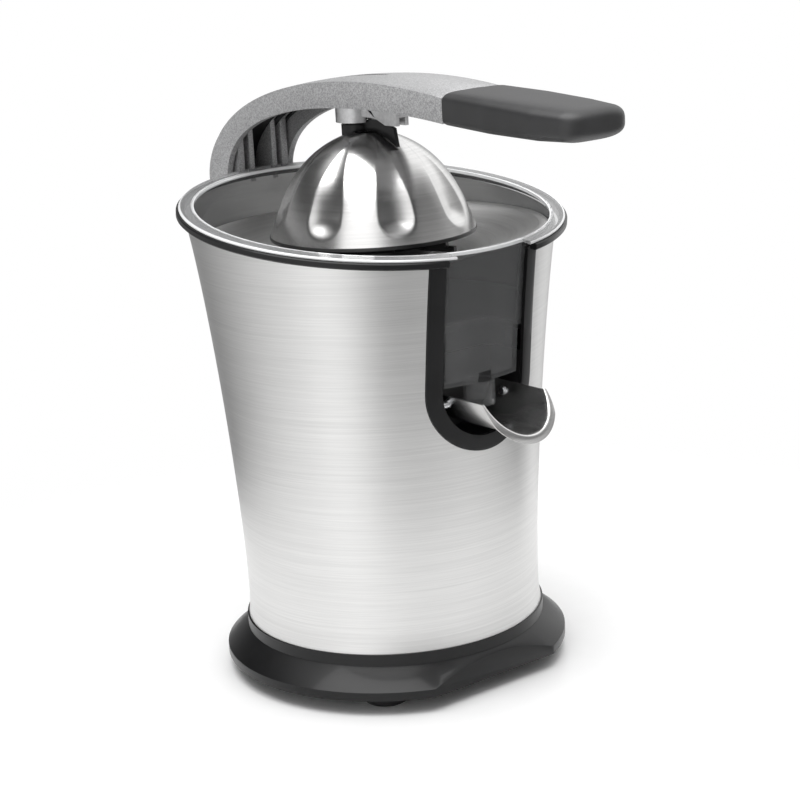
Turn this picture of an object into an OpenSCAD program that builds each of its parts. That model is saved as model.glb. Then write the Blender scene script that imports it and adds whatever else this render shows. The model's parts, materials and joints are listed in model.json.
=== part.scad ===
// Citrus press juicer with a lever arm.
// Origin: on the body's axis, in the plane that the feet stand on.
// +Z up, the spout and the grip point to -Y, the arm's hinge is at +Y.

/* [Overall] */
// Height of the rim's centre above the table
rim_z = 245.5; // [225:0.5:300]
// Outer radius of the clear rim
rim_r = 100; // [88:1:122]
// Tilt of the rim, lower at the front
rim_tilt = 7.3; // [4:0.1:9]
// Radius of the steel sleeve where it stands in the base
sleeve_foot_r = 79.5; // [76:0.5:96]
// How far the sleeve is drawn in at its waist
waist_in = 5.1; // [2:0.1:7]
// Thickness of the sleeve's steel sheet
sleeve_t = 1; // [0.6:0.1:1.4]

/* [Base] */
// Height of the rubber feet
foot_h = 8; // [5:0.5:10]
// Height of the widest band of the base
band_h = 4.5; // [3:0.5:7]
// Height of the sloping skirt above the band
skirt_h = 9.8; // [8:0.1:14]
// Height of the collar that the sleeve stands on
collar_h = 6; // [4:0.5:9]
// How far the base stands out beyond the sleeve's foot
base_out = 12.5; // [9:0.5:18]
// Distance from the axis to the base's flat front
front_flat = 82.8; // [80:0.1:90]
// Thickness of the base's wall and floor
base_wall = 3; // [2:0.5:4]

/* [Slot and spout] */
// Half width of the slot's frame, outside
slot_half = 34; // [31:0.5:38]
// Width of the slot's frame
frame_w = 8; // [5:0.5:9]
// Depth of the centre of the slot's round end below the rim
slot_drop = 81.5; // [76:0.5:90]
// Half width of the spout's trough
spout_r = 20.5; // [17:0.5:21.5]
// Thickness of the spout's sheet
spout_t = 1; // [0.8:0.1:1.2]
// How far the spout reaches out of the sleeve
spout_reach = 36; // [28:1:44]
// Radius of the spout's pivot pins
spout_pin_r = 2; // [1.5:0.25:2.5]

/* [Juice parts] */
// Depth of the deck below the rim
deck_drop = 59.5; // [56:0.5:62]
// Thickness of the clear wall
clear_t = 1.8; // [1.4:0.1:2]
// Radius of the filter tray's edge inside the rim
tray_inset = 9.2; // [9:0.1:11]
// Radius of the reamer cone's foot
reamer_r = 34; // [30:0.5:36]
// Height of the reamer cone
reamer_h = 41; // [36:0.5:43]
// Radius of the drip nozzle's bore
nozzle_r = 6.5; // [4.5:0.25:7]

/* [Press] */
// Radius of the press dome's mouth
dome_r = 53.5; // [50:0.5:57]
// Height of the press dome
dome_h = 51; // [50:0.5:56]
// Thickness of the dome's sheet
dome_t = 1.2; // [1:0.1:1.5]
// Half width of the arm
arm_half = 22; // [20:0.5:26]
// Wall of the arm's casting
arm_wall = 3.5; // [2.5:0.5:4]
// Radius of the hinge pin
pin_r = 3; // [2.5:0.25:3.5]
// Length of the grip
grip_len = 88; // [70:1:100]

/* [Drive] */
// Radius of the drive shaft
shaft_r = 5; // [4:0.25:5.5]
// How far the shaft goes down to start the motor
press_travel = 2; // [1:0.25:2.5]
// Module of the first pair of gears
module_1 = 1; // [0.9:0.05:1.05]
// Module of the second pair of gears
module_2 = 1.25; // [1.1:0.05:1.3]
// Teeth of each pinion
pinion_teeth = 12; // [12:1:13]
// Teeth of each wheel
wheel_teeth = 48; // [44:1:50]
// Face width of the gears
gear_w = 9; // [7:0.5:10]
// Radius of the motor's rotor
rotor_r = 17; // [14:0.5:17.5]
// Length of the motor's iron
motor_len = 40; // [30:1:42]

/* [Hidden] */

$fn = 96;
fit = 0.05;        // radial clearance of a running fit
gap = 0.3;         // clearance between neighbours that don't touch
screw_r = 1.9;     // screw shank
head_r = 3.6;      // screw head
head_h = 2;        // height of a screw's head

// heights from the table up
plate_z = foot_h + base_wall;
skirt_z = foot_h + band_h;
collar_z = skirt_z + skirt_h;
sleeve_z = collar_z + collar_h;
deck_z = rim_z - deck_drop;
slot_z = rim_z - slot_drop;
sleeve_top_z = rim_z + 4.5;
sleeve_top_r = rim_r - 1.5;
flange_t = 1.5;
trim_t = 3.5;

// a cubic curve through two end points, pulled by two control points
function bez(p, t) = pow(1 - t, 3) * p[0] + 3 * pow(1 - t, 2) * t * p[1]
    + 3 * (1 - t) * t * t * p[2] + pow(t, 3) * p[3];
function curve(p, n = 20) = [for (i = [0:n]) bez(p, i / n)];
function reversed(v) = [for (i = [len(v) - 1:-1:0]) v[i]];

// radius of the sleeve's outside at a height
function sleeve_r(z) = let (u = (z - sleeve_z) / (sleeve_top_z - sleeve_z))
    sleeve_foot_r + (sleeve_top_r - sleeve_foot_r) * u - waist_in * pow(max(0, 4 * u * (1 - u)), 0.6);
// a band that follows the sleeve between two heights, from inset a to inset b
function band(a, b, z0, z1, n = 24) = concat(
    [for (i = [0:n]) let (z = z0 + (z1 - z0) * i / n) [sleeve_r(z) - a, z]],
    [for (i = [n:-1:0]) let (z = z0 + (z1 - z0) * i / n) [sleeve_r(z) - b, z]]);
module sleeve_band(a, b, z0, z1) rotate_extrude() polygon(band(a, b, z0, z1));
// the solid inside the sleeve, at an inset
module sleeve_core(a, z0, z1, n = 24) rotate_extrude() polygon(concat([[0, z0]],
    [for (i = [0:n]) let (z = z0 + (z1 - z0) * i / n) [sleeve_r(z) - a, z]], [[0, z1]]));

module ring(ro, ri, h) difference() {
    cylinder(r = ro, h = h);
    translate([0, 0, -1]) cylinder(r = ri, h = h + 2);
}
module at(x, y, z) translate([x, y, z]) children();
// a round bar along X, centred
module bar_x(r, len) rotate([0, 90, 0]) cylinder(r = r, h = len, center = true);
module screw(len) {
    cylinder(r = screw_r, h = len);
    translate([0, 0, len]) cylinder(r = head_r, h = head_h);
}
// everything above the tilted rim plane, shifted by d
module above_rim(d) at(0, 0, rim_z) rotate([rim_tilt, 0, 0])
    translate([-200, -200, d]) cube([400, 400, 150]);
// the slot's outline, pushed through the front of the body
module slot_prism(w, y_in, y_out) at(0, -y_in, slot_z) rotate([90, 0, 0])
    linear_extrude(y_out - y_in) {
        circle(r = w);
        translate([-w, 0]) square([2 * w, slot_drop + 40]);
    }

// ---- base
foot_at = 70;
foot_angle = 43;
foot_top_r = 14;
foot_tip_r = 11;
module foot() cylinder(r1 = foot_tip_r, r2 = foot_top_r, h = foot_h);
module feet() color("#222324") {
    for (a = [foot_angle, -foot_angle, 180 - foot_angle, 180 + foot_angle]) rotate([0, 0, a]) at(0, -foot_at, 0) foot();
    // one more under the axis, where the hand's load comes down
    foot();
}

base_r = sleeve_foot_r + base_out;
collar_r = sleeve_foot_r + 0.9;
gland_z = plate_z + 6.6;
gland_r = 6;
module base_outline(in) difference() {
    rotate_extrude() polygon([[0, foot_h], [base_r - in, foot_h], [base_r - in, skirt_z],
        [collar_r - in, collar_z], [collar_r - in, sleeve_z], [0, sleeve_z]]);
    at(-150, -150 - front_flat + in, foot_h - 1) cube([300, 150, sleeve_z]);
}
module base_skirt() color("#262728") difference() {
    base_outline(0);
    translate([0, 0, -0.01]) base_outline(base_wall);
    at(0, 0, collar_z) cylinder(r = collar_r - base_wall, h = collar_h + 1);
    at(0, sleeve_foot_r - 8, gland_z) rotate([-90, 0, 0]) cylinder(r = gland_r + fit, h = 40);
}
base_screw_at = sleeve_foot_r - 12;
module base_plate() color("#2b2c2d") difference() {
    intersection() {
        base_outline(base_wall + gap);
        cylinder(r = base_r, h = plate_z);
    }
    for (a = [0:90:270]) rotate([0, 0, a]) at(base_screw_at, 0, foot_h - 1) {
        cylinder(r = screw_r + 0.2, h = 10);
        cylinder(r = head_r + 0.2, h = 1 + head_h);
    }
}
base_screw_len = 10;
module base_screws() color("silver") for (a = [0:90:270]) rotate([0, 0, a])
    at(base_screw_at, 0, foot_h + head_h + base_screw_len) mirror([0, 0, 1]) screw(base_screw_len);
module inlet_gland() color("#1f2021") at(0, sleeve_foot_r - 1.5, gland_z) rotate([-90, 0, 0])
    ring(gland_r, gland_r - 2.4, 14);
module terminal_block() color("#d8d4c4") difference() {
    at(-48, 26, plate_z) cube([22, 12, 11]);
    for (i = [0:2]) at(-43.5 + 6.5 * i, 32, plate_z + 4) cylinder(r = 2, h = 8);
}

// ---- outer body
module body_sleeve() color("#c9cacb") difference() {
    sleeve_band(0, sleeve_t, sleeve_z, rim_z + 16);
    above_rim(-flange_t - trim_t);
    slot_prism(slot_half + 0.15, sleeve_foot_r / 2, rim_r * 1.4);
}
trim_r = rim_r + 1.2;
module trim_ring() color("#1d1e1f") difference() {
    at(0, 0, rim_z) rotate([rim_tilt, 0, 0]) translate([0, 0, -flange_t - trim_t])
        ring(trim_r, rim_r - 3.2, trim_t);
    at(frame_w - slot_half, -rim_r * 1.4, rim_z - 60) cube([2 * (slot_half - frame_w), rim_r, 120]);
}
bezel_in = sleeve_t + 0.3;
module slot_bezel() color("#242526") difference() {
    intersection() {
        sleeve_band(-0.8, bezel_in, slot_z - slot_half - 2, rim_z + 4);
        slot_prism(slot_half, sleeve_foot_r / 2, rim_r * 1.4);
    }
    slot_prism(slot_half - frame_w, sleeve_foot_r / 2, rim_r * 1.4);
    above_rim(-flange_t - trim_t);
}
pocket_half = slot_half - frame_w;
pocket_wall = 1.8;
pocket_y = sleeve_r(slot_z) - 28;     // depth of the pocket's back wall from the axis
spout_y = sleeve_r(slot_z) - 9;       // the spout's pivot
spout_z = slot_z - 8;
module spout_recess() color("#161718") difference() {
    intersection() {
        union() {
            slot_prism(pocket_half + pocket_wall, pocket_y - pocket_wall, rim_r * 1.4);
            at(0, -spout_y, spout_z) bar_x(4.5, 2 * pocket_half + 7);
        }
        sleeve_core(bezel_in + 0.2, slot_z - slot_half, deck_z - gap);
    }
    slot_prism(pocket_half, pocket_y, rim_r * 1.4);
    at(0, -spout_y, spout_z) bar_x(spout_pin_r + fit, 2 * pocket_half + 10);
}

// ---- inner housing: tube and gearbox ledge, with the deck and its shaft boss on top
tube_r = sleeve_foot_r - 5.5;
tube_t = 2.2;
floor_z = 96;                          // underside of the gearbox
ledge_h = 3.5;
deck_t = 3;
boss_r = 12;
bush_wall = 3;
boss_low_z = deck_z - 10;
boss_top_z = deck_z + 13;
module inner_housing() color("#303132") difference() {
    union() {
        at(0, 0, plate_z) ring(tube_r, tube_r - tube_t, deck_z - plate_z);
        at(0, 0, floor_z - ledge_h) ring(tube_r - 0.5, tube_r - 12, ledge_h);
        for (a = [0:90:270]) rotate([0, 0, a]) at(base_screw_at, 0, plate_z) cylinder(r = 4.8, h = 14);
    }
    pocket_room();
    for (a = [0:90:270]) rotate([0, 0, a]) at(base_screw_at, 0, plate_z - 1)
        cylinder(r = screw_r + fit, h = 12);
}
module pocket_room() slot_prism(pocket_half + pocket_wall + 0.4, pocket_y - pocket_wall - 0.4, rim_r * 1.4);
module deck_cover() color("#2c2d2e") difference() {
    union() {
        at(0, 0, deck_z) cylinder(r = sleeve_r(deck_z) - sleeve_t - 0.4, h = deck_t);
        at(0, 0, boss_low_z) cylinder(r = boss_r, h = boss_top_z - boss_low_z);
    }
    at(0, 0, boss_low_z - 1) cylinder(r = shaft_r + bush_wall, h = boss_top_z - boss_low_z + 2);
    pocket_room();
}
bush_len = 20;
module shaft_bush() color("#b08d57") at(0, 0, boss_low_z)
    ring(shaft_r + bush_wall, shaft_r + fit, bush_len);
module shaft_seal() color("#8c3b2e") at(0, 0, boss_low_z + bush_len)
    ring(shaft_r + bush_wall, shaft_r + fit, boss_top_z - boss_low_z - bush_len);

// ---- juice collector, clear
clear_gap = 0.5;
flange_w = 8;
bowl_z = deck_z + 4;
chimney_r = boss_r + 1;
tray_z = rim_z - 12.5;
function bowl_r(z) = min(sleeve_r(z) - sleeve_t - clear_gap, rim_r - flange_w + clear_t - 0.2);
bowl_top_z = rim_z + 16;
ledge_z = tray_z - 1.3;
ledge_r = rim_r - 11.4;
bowl_n = 20;
function bowl_side(z0, z1, in) = [for (i = [0:bowl_n])
    let (z = z0 + (z1 - z0) * i / bowl_n) [bowl_r(z) - in, z]];
chute_half = slot_half - 10.5;
chute_y = pocket_y + 2.2;
chute_z = slot_z + 1.5;
nozzle_y = sleeve_r(slot_z) - 6.5;
nozzle_len = 12;
panel_in = 1.8;
module chute_core(in, z0, z1) intersection() {
    at(in - chute_half, -rim_r * 1.2, z0) cube([2 * (chute_half - in), rim_r * 1.2 - chute_y - in, z1 - z0]);
    sleeve_core(panel_in + in, z0 - 1, rim_z + 16);
}
module juice_collector() color("#c8cdd0", 0.35) difference() {
    union() {
        difference() {
            rotate_extrude() polygon(concat([[chimney_r, bowl_z]], bowl_side(bowl_z, bowl_top_z, 0),
                reversed(bowl_side(ledge_z, bowl_top_z, clear_t)),
                [[ledge_r, ledge_z], [ledge_r, ledge_z - 1.5]],
                reversed(bowl_side(bowl_z + 2, ledge_z - 1.5, clear_t)),
                [[chimney_r + clear_t, bowl_z + 2], [chimney_r + clear_t, bowl_z + 20],
                    [chimney_r, bowl_z + 20]]));
            at(0.3 - chute_half, -rim_r * 1.2, bowl_z - 1)
                cube([2 * chute_half - 0.6, rim_r * 1.2 - chute_y, 150]);
        }
        difference() {
            intersection() {
                at(0, 0, rim_z) rotate([rim_tilt, 0, 0]) translate([0, 0, -flange_t])
                    ring(rim_r, rim_r - flange_w, flange_t);
                cylinder(r = rim_r * 2, h = rim_z * 2);
            }
            at(-chute_half, -rim_r * 1.4, rim_z - 60) cube([2 * chute_half, rim_r, 120]);
        }
        difference() {
            chute_core(0, chute_z, rim_z + 4);
            chute_core(clear_t, chute_z + clear_t, rim_z + 10);
            // above the bowl's floor only the front panel is left
            sleeve_core(panel_in + clear_t, bowl_z + 2, bowl_top_z + 1);
        }
        at(0, -nozzle_y, chute_z - nozzle_len) cylinder(r = nozzle_r + 1.5, h = nozzle_len + 0.5);
    }
    above_rim(0);
    at(0, -nozzle_y, chute_z - nozzle_len - 1) cylinder(r = nozzle_r, h = nozzle_len + clear_t + 3);
}

// ---- filter tray
tray_r = rim_r - tray_inset;
tray_t = 1;
tray_in_z = tray_z - 13.4;
tray_hole = chimney_r + clear_t + 6;
module filter_tray() color("#b9babb") difference() {
    rotate_extrude() polygon([[tray_hole, tray_in_z - 2.6], [36, tray_in_z - 2.6], [50, tray_in_z - 0.6],
        [tray_r - 4, tray_z - 1], [tray_r, tray_z - 1], [tray_r, tray_z], [tray_r - 4, tray_z],
        [50, tray_in_z + 0.4], [36, tray_in_z - 1.6], [tray_hole, tray_in_z - 1.6]]);
    for (a = [0:10:350]) rotate([0, 0, a]) at(tray_hole + 4, -0.8, tray_in_z - 6) cube([9, 1.6, 10]);
}

// ---- gearbox
wheel_1_at = module_1 * (pinion_teeth + wheel_teeth) / 2;      // motor to idler
wheel_2_at = module_2 * (pinion_teeth + wheel_teeth) / 2;      // idler to drive shaft
motor_y = wheel_2_at - wheel_1_at;
floor_t = 3;
plane_1 = floor_z + floor_t + 2;
plane_2 = plane_1 + gear_w + 2;
cover_z = plane_2 + gear_w + 3;
cover_t = 3;
pan_r = tube_r - tube_t - 3.8;
pan_front = 45;
post_at = pan_r - 10;
post_angles = [40, 140, -25, 205];
module pan_outline(in) difference() {
    circle(r = pan_r - in);
    translate([-100, -200 - pan_front + in]) square([200, 200]);
}
module posts(r, h) for (a = post_angles) rotate([0, 0, a]) translate([post_at, 0, 0]) cylinder(r = r, h = h);
motor_screw_at = rotor_r + 9.5;
stator_z = floor_z - 11 - motor_len;
stator_top = stator_z + motor_len;
module gearbox_base() color("#8f8a7c") difference() {
    union() {
        at(0, 0, floor_z) linear_extrude(floor_t) pan_outline(0);
        at(0, 0, floor_z) linear_extrude(cover_z - floor_z) difference() {
            pan_outline(0);
            pan_outline(2.5);
        }
        at(0, 0, floor_z) posts(5, cover_z - floor_z);
        at(0, motor_y, floor_z - 5) cylinder(r = 10, h = 6);
        for (s = [-1, 1]) at(s * motor_screw_at, motor_y, stator_top) cylinder(r = 4, h = floor_z - stator_top);
        at(0, wheel_2_at, floor_z) cylinder(r = 6, h = floor_t + 1);
    }
    at(0, motor_y, floor_z - 6) cylinder(r = 7, h = 20);
    at(0, wheel_2_at, floor_z + 1) cylinder(r = 3, h = 10);
    at(0, 0, cover_z - 14) posts(screw_r + fit, 20);
    for (s = [-1, 1]) at(s * motor_screw_at, motor_y, stator_top - 1)
        cylinder(r = screw_r + fit, h = floor_z - stator_top + floor_t - 1);
}
hub_r = shaft_r + 4.5;
cover_boss_r = hub_r + 6;
hub_top = cover_z + 13;
module gearbox_cover() color("#9a9587") difference() {
    union() {
        at(0, 0, cover_z) linear_extrude(cover_t) pan_outline(0);
        at(0, 0, cover_z) cylinder(r = cover_boss_r, h = hub_top - cover_z - 1);
        at(0, wheel_2_at, cover_z) cylinder(r = 6, h = cover_t + 3);
    }
    at(0, 0, cover_z - 1) cylinder(r = hub_r + bush_wall, h = 30);
    at(0, wheel_2_at, cover_z - 1) cylinder(r = 3, h = 5);
    at(0, 0, cover_z - 1) posts(screw_r + 0.2, cover_t + 2);
}
module gearbox_screws() color("silver") at(0, 0, cover_z + cover_t - 12) for (a = post_angles)
    rotate([0, 0, a]) translate([post_at, 0, 0]) screw(12);
module cover_bush() color("#b08d57") at(0, 0, cover_z)
    ring(hub_r + bush_wall, hub_r + fit, hub_top - cover_z - 1);
module idler_pin() color("#a8a9aa") at(0, wheel_2_at, floor_z + 1) cylinder(r = 3, h = cover_z - floor_z + 3);

// involute teeth, one tooth centred on +X
pressure = 25;
function inv_deg(a) = (tan(a) - a * PI / 180) * 180 / PI;
function half_tooth(r, rb, n, m, lash) = 90 / n - lash / (m * n) * 180 / PI
    + inv_deg(pressure) - inv_deg(acos(min(1, rb / r)));
function tooth(n, m, tip, lash, k = 4) = let (rb = m * n / 2 * cos(pressure),
        root = m * n / 2 - 1.2 * m, rs = [for (i = [0:k]) rb + (tip - rb) * i / k])
    concat([[root, -half_tooth(rb, rb, n, m, lash)]], [for (r = rs) [r, -half_tooth(r, rb, n, m, lash)]],
        [for (i = [k:-1:0]) [rs[i], half_tooth(rs[i], rb, n, m, lash)]],
        [[root, half_tooth(rb, rb, n, m, lash)]]);
module gear(n, m, add, w, turn) rotate([0, 0, turn]) linear_extrude(w)
    polygon([for (i = [0:n - 1]) each [for (p = tooth(n, m, m * n / 2 + add * m, 0.06))
        [p[0] * cos(p[1] + i * 360 / n), p[0] * sin(p[1] + i * 360 / n)]]]);
module motor_pinion() color("#b9a06a") at(0, motor_y, plane_1) difference() {
    gear(pinion_teeth, module_1, 0.95, gear_w, 90);
    at(0, 0, -1) cylinder(r = 3, h = gear_w + 2);
}
module idler_gear() color("#e6e2d6") at(0, wheel_2_at, plane_1) difference() {
    union() {
        gear(wheel_teeth, module_1, 0.8, gear_w, 270 + 180 / wheel_teeth);
        gear(pinion_teeth, module_2, 0.95, 2 * gear_w + 2, 270);
    }
    at(0, 0, -1) cylinder(r = 3 + fit, h = 2 * gear_w + 10);
}
hex_r = shaft_r * 1.16;
module output_gear() color("#e6e2d6") at(0, 0, plane_2) difference() {
    union() {
        gear(wheel_teeth, module_2, 0.8, gear_w, 90 + 180 / wheel_teeth);
        cylinder(r = hub_r, h = hub_top - plane_2);
    }
    at(0, 0, -1) cylinder(r = hex_r + 0.1, h = hub_top - plane_2 + 2, $fn = 6);
}

// ---- motor
module motor_stator() color("#6e6f70") at(0, motor_y, stator_z) difference() {
    cylinder(r = rotor_r + 13, h = motor_len);
    at(0, 0, -1) cylinder(r = rotor_r + 0.6, h = motor_len + 2);
    for (s = [-1, 1]) at(s * motor_screw_at, 0, -1) cylinder(r = screw_r + 0.2, h = motor_len + 2);
}
module motor_windings() color("#b5622d") at(0, motor_y, stator_z) {
    at(0, 0, -8) ring(rotor_r + 5.2, rotor_r + 1.5, 7.9);
    at(0, 0, motor_len + 0.1) ring(rotor_r + 5.2, rotor_r + 1.5, 5);
}
bracket_z = stator_z - 21;
module motor_bracket() color("#9fa0a1") at(0, motor_y, bracket_z) difference() {
    union() {
        cylinder(r = rotor_r + 13, h = 3);
        cylinder(r = 10, h = 8);
        for (s = [-1, 1]) at(s * motor_screw_at, 0, 0) cylinder(r = 4, h = 21);
    }
    at(0, 0, 1) cylinder(r = 7, h = 10);
    for (s = [-1, 1]) at(s * motor_screw_at, 0, -1) cylinder(r = screw_r + 0.2, h = 30);
}
module motor_bearings() color("#c4c5c6") for (z = [bracket_z + 1, floor_z - 5])
    at(0, motor_y, z) ring(7, 3 + fit, 7);
module motor_screws() color("silver") for (s = [-1, 1]) at(s * motor_screw_at, motor_y, floor_z)
    mirror([0, 0, 1]) screw(floor_z - bracket_z);
module rotor_core() color("#77787a") at(0, motor_y, stator_z + 1) ring(rotor_r, 3, motor_len - 2);
module rotor_shaft() color("#b4b5b6") at(0, motor_y, bracket_z + 1.5)
    cylinder(r = 3, h = plane_1 + gear_w - bracket_z - 1.5);
module commutator() color("#b87333") at(0, motor_y, stator_z - 12) ring(8, 3, 10);
module brushes() color("#3a3a3a") for (s = [-1, 1]) at(s * 13.2 - 5, motor_y - 2.5, stator_z - 11)
    cube([10, 5, 4]);
module cooling_fan() color("#d9d6cc") at(0, motor_y, stator_top + 0.5) difference() {
    union() {
        ring(6, 3, 4);
        ring(rotor_r - 1.5, 3, 1);
        for (a = [0:30:330]) rotate([0, 0, a]) at(4, -0.5, 0) cube([rotor_r - 6.5, 1, 4]);
    }
    at(0, 0, -1) cylinder(r = 3, h = 8);
}

// ---- drive shaft, reamer and start switch
collar_low = hub_top + 8.2;
carrier_z = tray_z - 9.8;              // underside of the carrier's fins
carrier_top = carrier_z + 2.8;
shaft_low = plane_2 + 1;
module drive_shaft() color("#b4b5b6") {
    at(0, 0, shaft_low) cylinder(r = hex_r, h = collar_low - shaft_low, $fn = 6);
    at(0, 0, collar_low) cylinder(r = shaft_r, h = carrier_top - collar_low - 1);
}
fin_r = dome_r - 5.5;
collar_out = 22;
module shaft_collar() color("#d9d6cc") at(0, 0, collar_low) ring(collar_out, shaft_r, 3);
module reamer_carrier() color("#1c1d1e") difference() {
    union() {
        at(0, 0, carrier_z - 2) cylinder(r = reamer_r - 3, h = 4.8);
        at(0, 0, boss_top_z + press_travel + 2) cylinder(r = shaft_r + 4, h = carrier_z - boss_top_z - press_travel - 3);
        at(0, 0, carrier_z - 14) ring(chimney_r + clear_t + 3.4, chimney_r + clear_t + 1.4, 13);
        for (a = [22, 112, 202, 292]) rotate([0, 0, a - 90]) {
            at(reamer_r - 6, -1.5, carrier_z) cube([fin_r - reamer_r + 6, 3, carrier_top - carrier_z]);
            at(reamer_r + 0.3, -1.5, carrier_z) cube([fin_r - 5 - reamer_r, 3, 7]);
        }
    }
    at(0, 0, boss_top_z) cylinder(r = shaft_r, h = carrier_top - boss_top_z - 1);
}
cone_wall = 1.6;
function cone_line(in) = [[reamer_r - in, carrier_top], [reamer_r * 0.8 - in, carrier_top + reamer_h * 0.45],
    [reamer_r * 0.45 - in * 0.7, carrier_top + reamer_h * 0.95 - in],
    [0, carrier_top + reamer_h - in]];
module reamer_cone() color("#1f2021") difference() {
    union() {
        rotate_extrude() polygon(concat([[0, carrier_top]], curve(cone_line(0.9))));
        for (a = [0:36:324]) rotate([90, 0, a]) linear_extrude(2, center = true)
            polygon(concat([[0, carrier_top]], [for (p = curve(cone_line(0), 14)) [max(0, p[0]), p[1]]]));
    }
    rotate_extrude() polygon(concat([[0, carrier_top - 1], [reamer_r - 3.5, carrier_top - 1]],
        [for (p = curve(cone_line(0.9 + cone_wall))) [max(0, p[0]), p[1]]]));
}
spring_r = 7.8;
spring_wire = 0.6;
spring_turns = 3.5;
spring_low = hub_top + spring_wire + 0.1;
spring_rise = collar_low - hub_top - 2 * spring_wire - 0.3;
spring_steps = 56;
function coil_ring(i) = let (a = 360 * spring_turns * i / spring_steps) [for (j = [0:5])
    let (r = spring_r + spring_wire * cos(60 * j))
    [r * cos(a), r * sin(a), spring_low + spring_rise * i / spring_steps + spring_wire * sin(60 * j)]];
module return_spring() color("#8d8e90") polyhedron(
    [for (i = [0:spring_steps]) each coil_ring(i)],
    concat([[for (j = [0:5]) j]], [[for (j = [5:-1:0]) 6 * spring_steps + j]],
        [for (i = [0:spring_steps - 1], j = [0:5]) each let (k = (j + 1) % 6)
            [[6 * i + j, 6 * i + 6 + j, 6 * i + 6 + k], [6 * i + j, 6 * i + 6 + k, 6 * i + k]]]));
switch_x = cover_boss_r + 4;
button_r = 1.5;
switch_top = collar_low - 5;
module switch_body() color("#2a2b2c") difference() {
    at(-switch_x - 7.5, -6, cover_z + cover_t) cube([11, 12, switch_top - cover_z - cover_t]);
    at(-switch_x, 0, switch_top - 6) cylinder(r = button_r + fit, h = 8);
}
module switch_button() color("#b5432f") at(-switch_x, 0, switch_top - 6 + press_travel + 0.5)
    cylinder(r = button_r, h = collar_low - gap - switch_top + 6 - press_travel - 0.5);

// ---- hinge tower at the back
hinge_y = rim_r + 9;
hinge_z = rim_z - 7.5;
leg_r = 10;
leg_in = arm_half - arm_wall;
tower_half = leg_in - 1.5;
knuckle_r = pin_r + 2.5;
post_y = hinge_y - 6;
module hinge_tower() color("#5b5c5e") difference() {
    union() {
        rotate([90, 0, 90]) linear_extrude(2 * tower_half, center = true)
            polygon([[hinge_y - 24, hinge_z - 46], [hinge_y - 15, hinge_z - 46], [post_y, hinge_z - 34],
                [post_y, hinge_z - knuckle_r], [hinge_y, hinge_z - knuckle_r],
                [hinge_y, hinge_z + knuckle_r], [post_y, hinge_z + knuckle_r],
                [post_y, hinge_z + 11], [hinge_y - 24, hinge_z + 11]]);
        rotate([90, 0, 90]) linear_extrude(2 * arm_half, center = true)
            polygon([[hinge_y - 24, hinge_z - 46], [hinge_y - 15, hinge_z - 46], [post_y, hinge_z - 34],
                [post_y, hinge_z - 13], [hinge_y - 24, hinge_z - 13]]);
        at(0, hinge_y, hinge_z) bar_x(knuckle_r, 2 * tower_half);
    }
    sleeve_core(-0.15, hinge_z - 60, rim_z + 16);
    at(0, hinge_y, hinge_z) bar_x(pin_r, 60);
}
module hinge_pin() color("#a8a9aa") at(0, hinge_y, hinge_z) bar_x(pin_r, 2 * arm_half + 2.6);
module pin_caps() color("#3a3b3c") for (s = [-1, 1]) at(s * (arm_half + 1.1), hinge_y, hinge_z) difference() {
    bar_x(5.5, 1.6);
    bar_x(pin_r, 4);
}

// ---- arm, in the side view: y across, z up
arm_front = -88;
arm_crest = [[hinge_y + leg_r, hinge_z + 17], [hinge_y + leg_r, hinge_z + 56],
    [37, hinge_z + 86], [arm_front, hinge_z + 72.5]];
arm_edge = [[hinge_y - leg_r + 2, hinge_z + 14], [hinge_y - leg_r + 2, hinge_z + 65],
    [-25, hinge_z + 64.5], [arm_front, hinge_z + 57.6]];
arm_inner = [[hinge_y + leg_r - arm_wall, hinge_z + 17], [hinge_y + leg_r - arm_wall, hinge_z + 53],
    [36, hinge_z + 82.2], [arm_front + 3.5, hinge_z + 69]];
module side_view(half) rotate([90, 0, 90]) linear_extrude(2 * half, center = true) children();
module arm_side() {
    polygon(concat(curve(arm_crest), reversed(curve(arm_edge))));
    polygon([[hinge_y - leg_r, hinge_z], [hinge_y + leg_r, hinge_z], arm_crest[0], arm_edge[0]]);
    translate([hinge_y, hinge_z]) circle(r = leg_r);
}
module arm_hollow() {
    polygon(concat(curve(arm_inner), [[arm_front + 3.5, hinge_z], [hinge_y + leg_r - arm_wall, hinge_z]]));
    translate([hinge_y - 20, hinge_z - 20]) square([40, 20]);
}
tang_len = 52;
tang_half = 14;
tang_z = hinge_z + 61;
tang_h = 6;
rib_in = 8;
inlay_y = -2;
inlay_t = 1;
inlay_in = 0.3;       // depth of the inlay's face below the crest
module arm_casting() color("#a9aaac") difference() {
    union() {
        difference() {
            side_view(arm_half) arm_side();
            side_view(leg_in) arm_hollow();
        }
        // stiffening ribs on the inside of the back wall
        intersection() {
            side_view(leg_in) polygon(concat(curve(arm_crest), reversed([for (p = curve(arm_inner))
                [p[0] - rib_in, p[1] - 1]])));
            for (s = [-1, 1]) {
                at(s * 7.5 - 1.5, 40, hinge_z + 21) cube([3, 80, 40]);
                at(s * 14.5 - 2.5, 40, hinge_z + 21) cube([5, 80, 40]);
            }
        }
        at(-tang_half, arm_front - tang_len, tang_z) cube([2 * tang_half, tang_len + 2, tang_h]);
        boss_screw_places() at(0, 0, boss_top) cylinder(r = 4.2, h = 5);
    }
    at(0, hinge_y, hinge_z) bar_x(pin_r + fit, 80);
    for (y = grip_screws_y) at(0, y, tang_z - 1) cylinder(r = screw_r + fit, h = tang_h + 2);
    intersection() {
        inlay_prism(0.1);
        below_crest(-5, inlay_in + inlay_t);
    }
    boss_screw_places() at(0, 0, boss_top - 1) cylinder(r = screw_r + fit, h = boss_screw_top - boss_top + 1.3);
}
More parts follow.
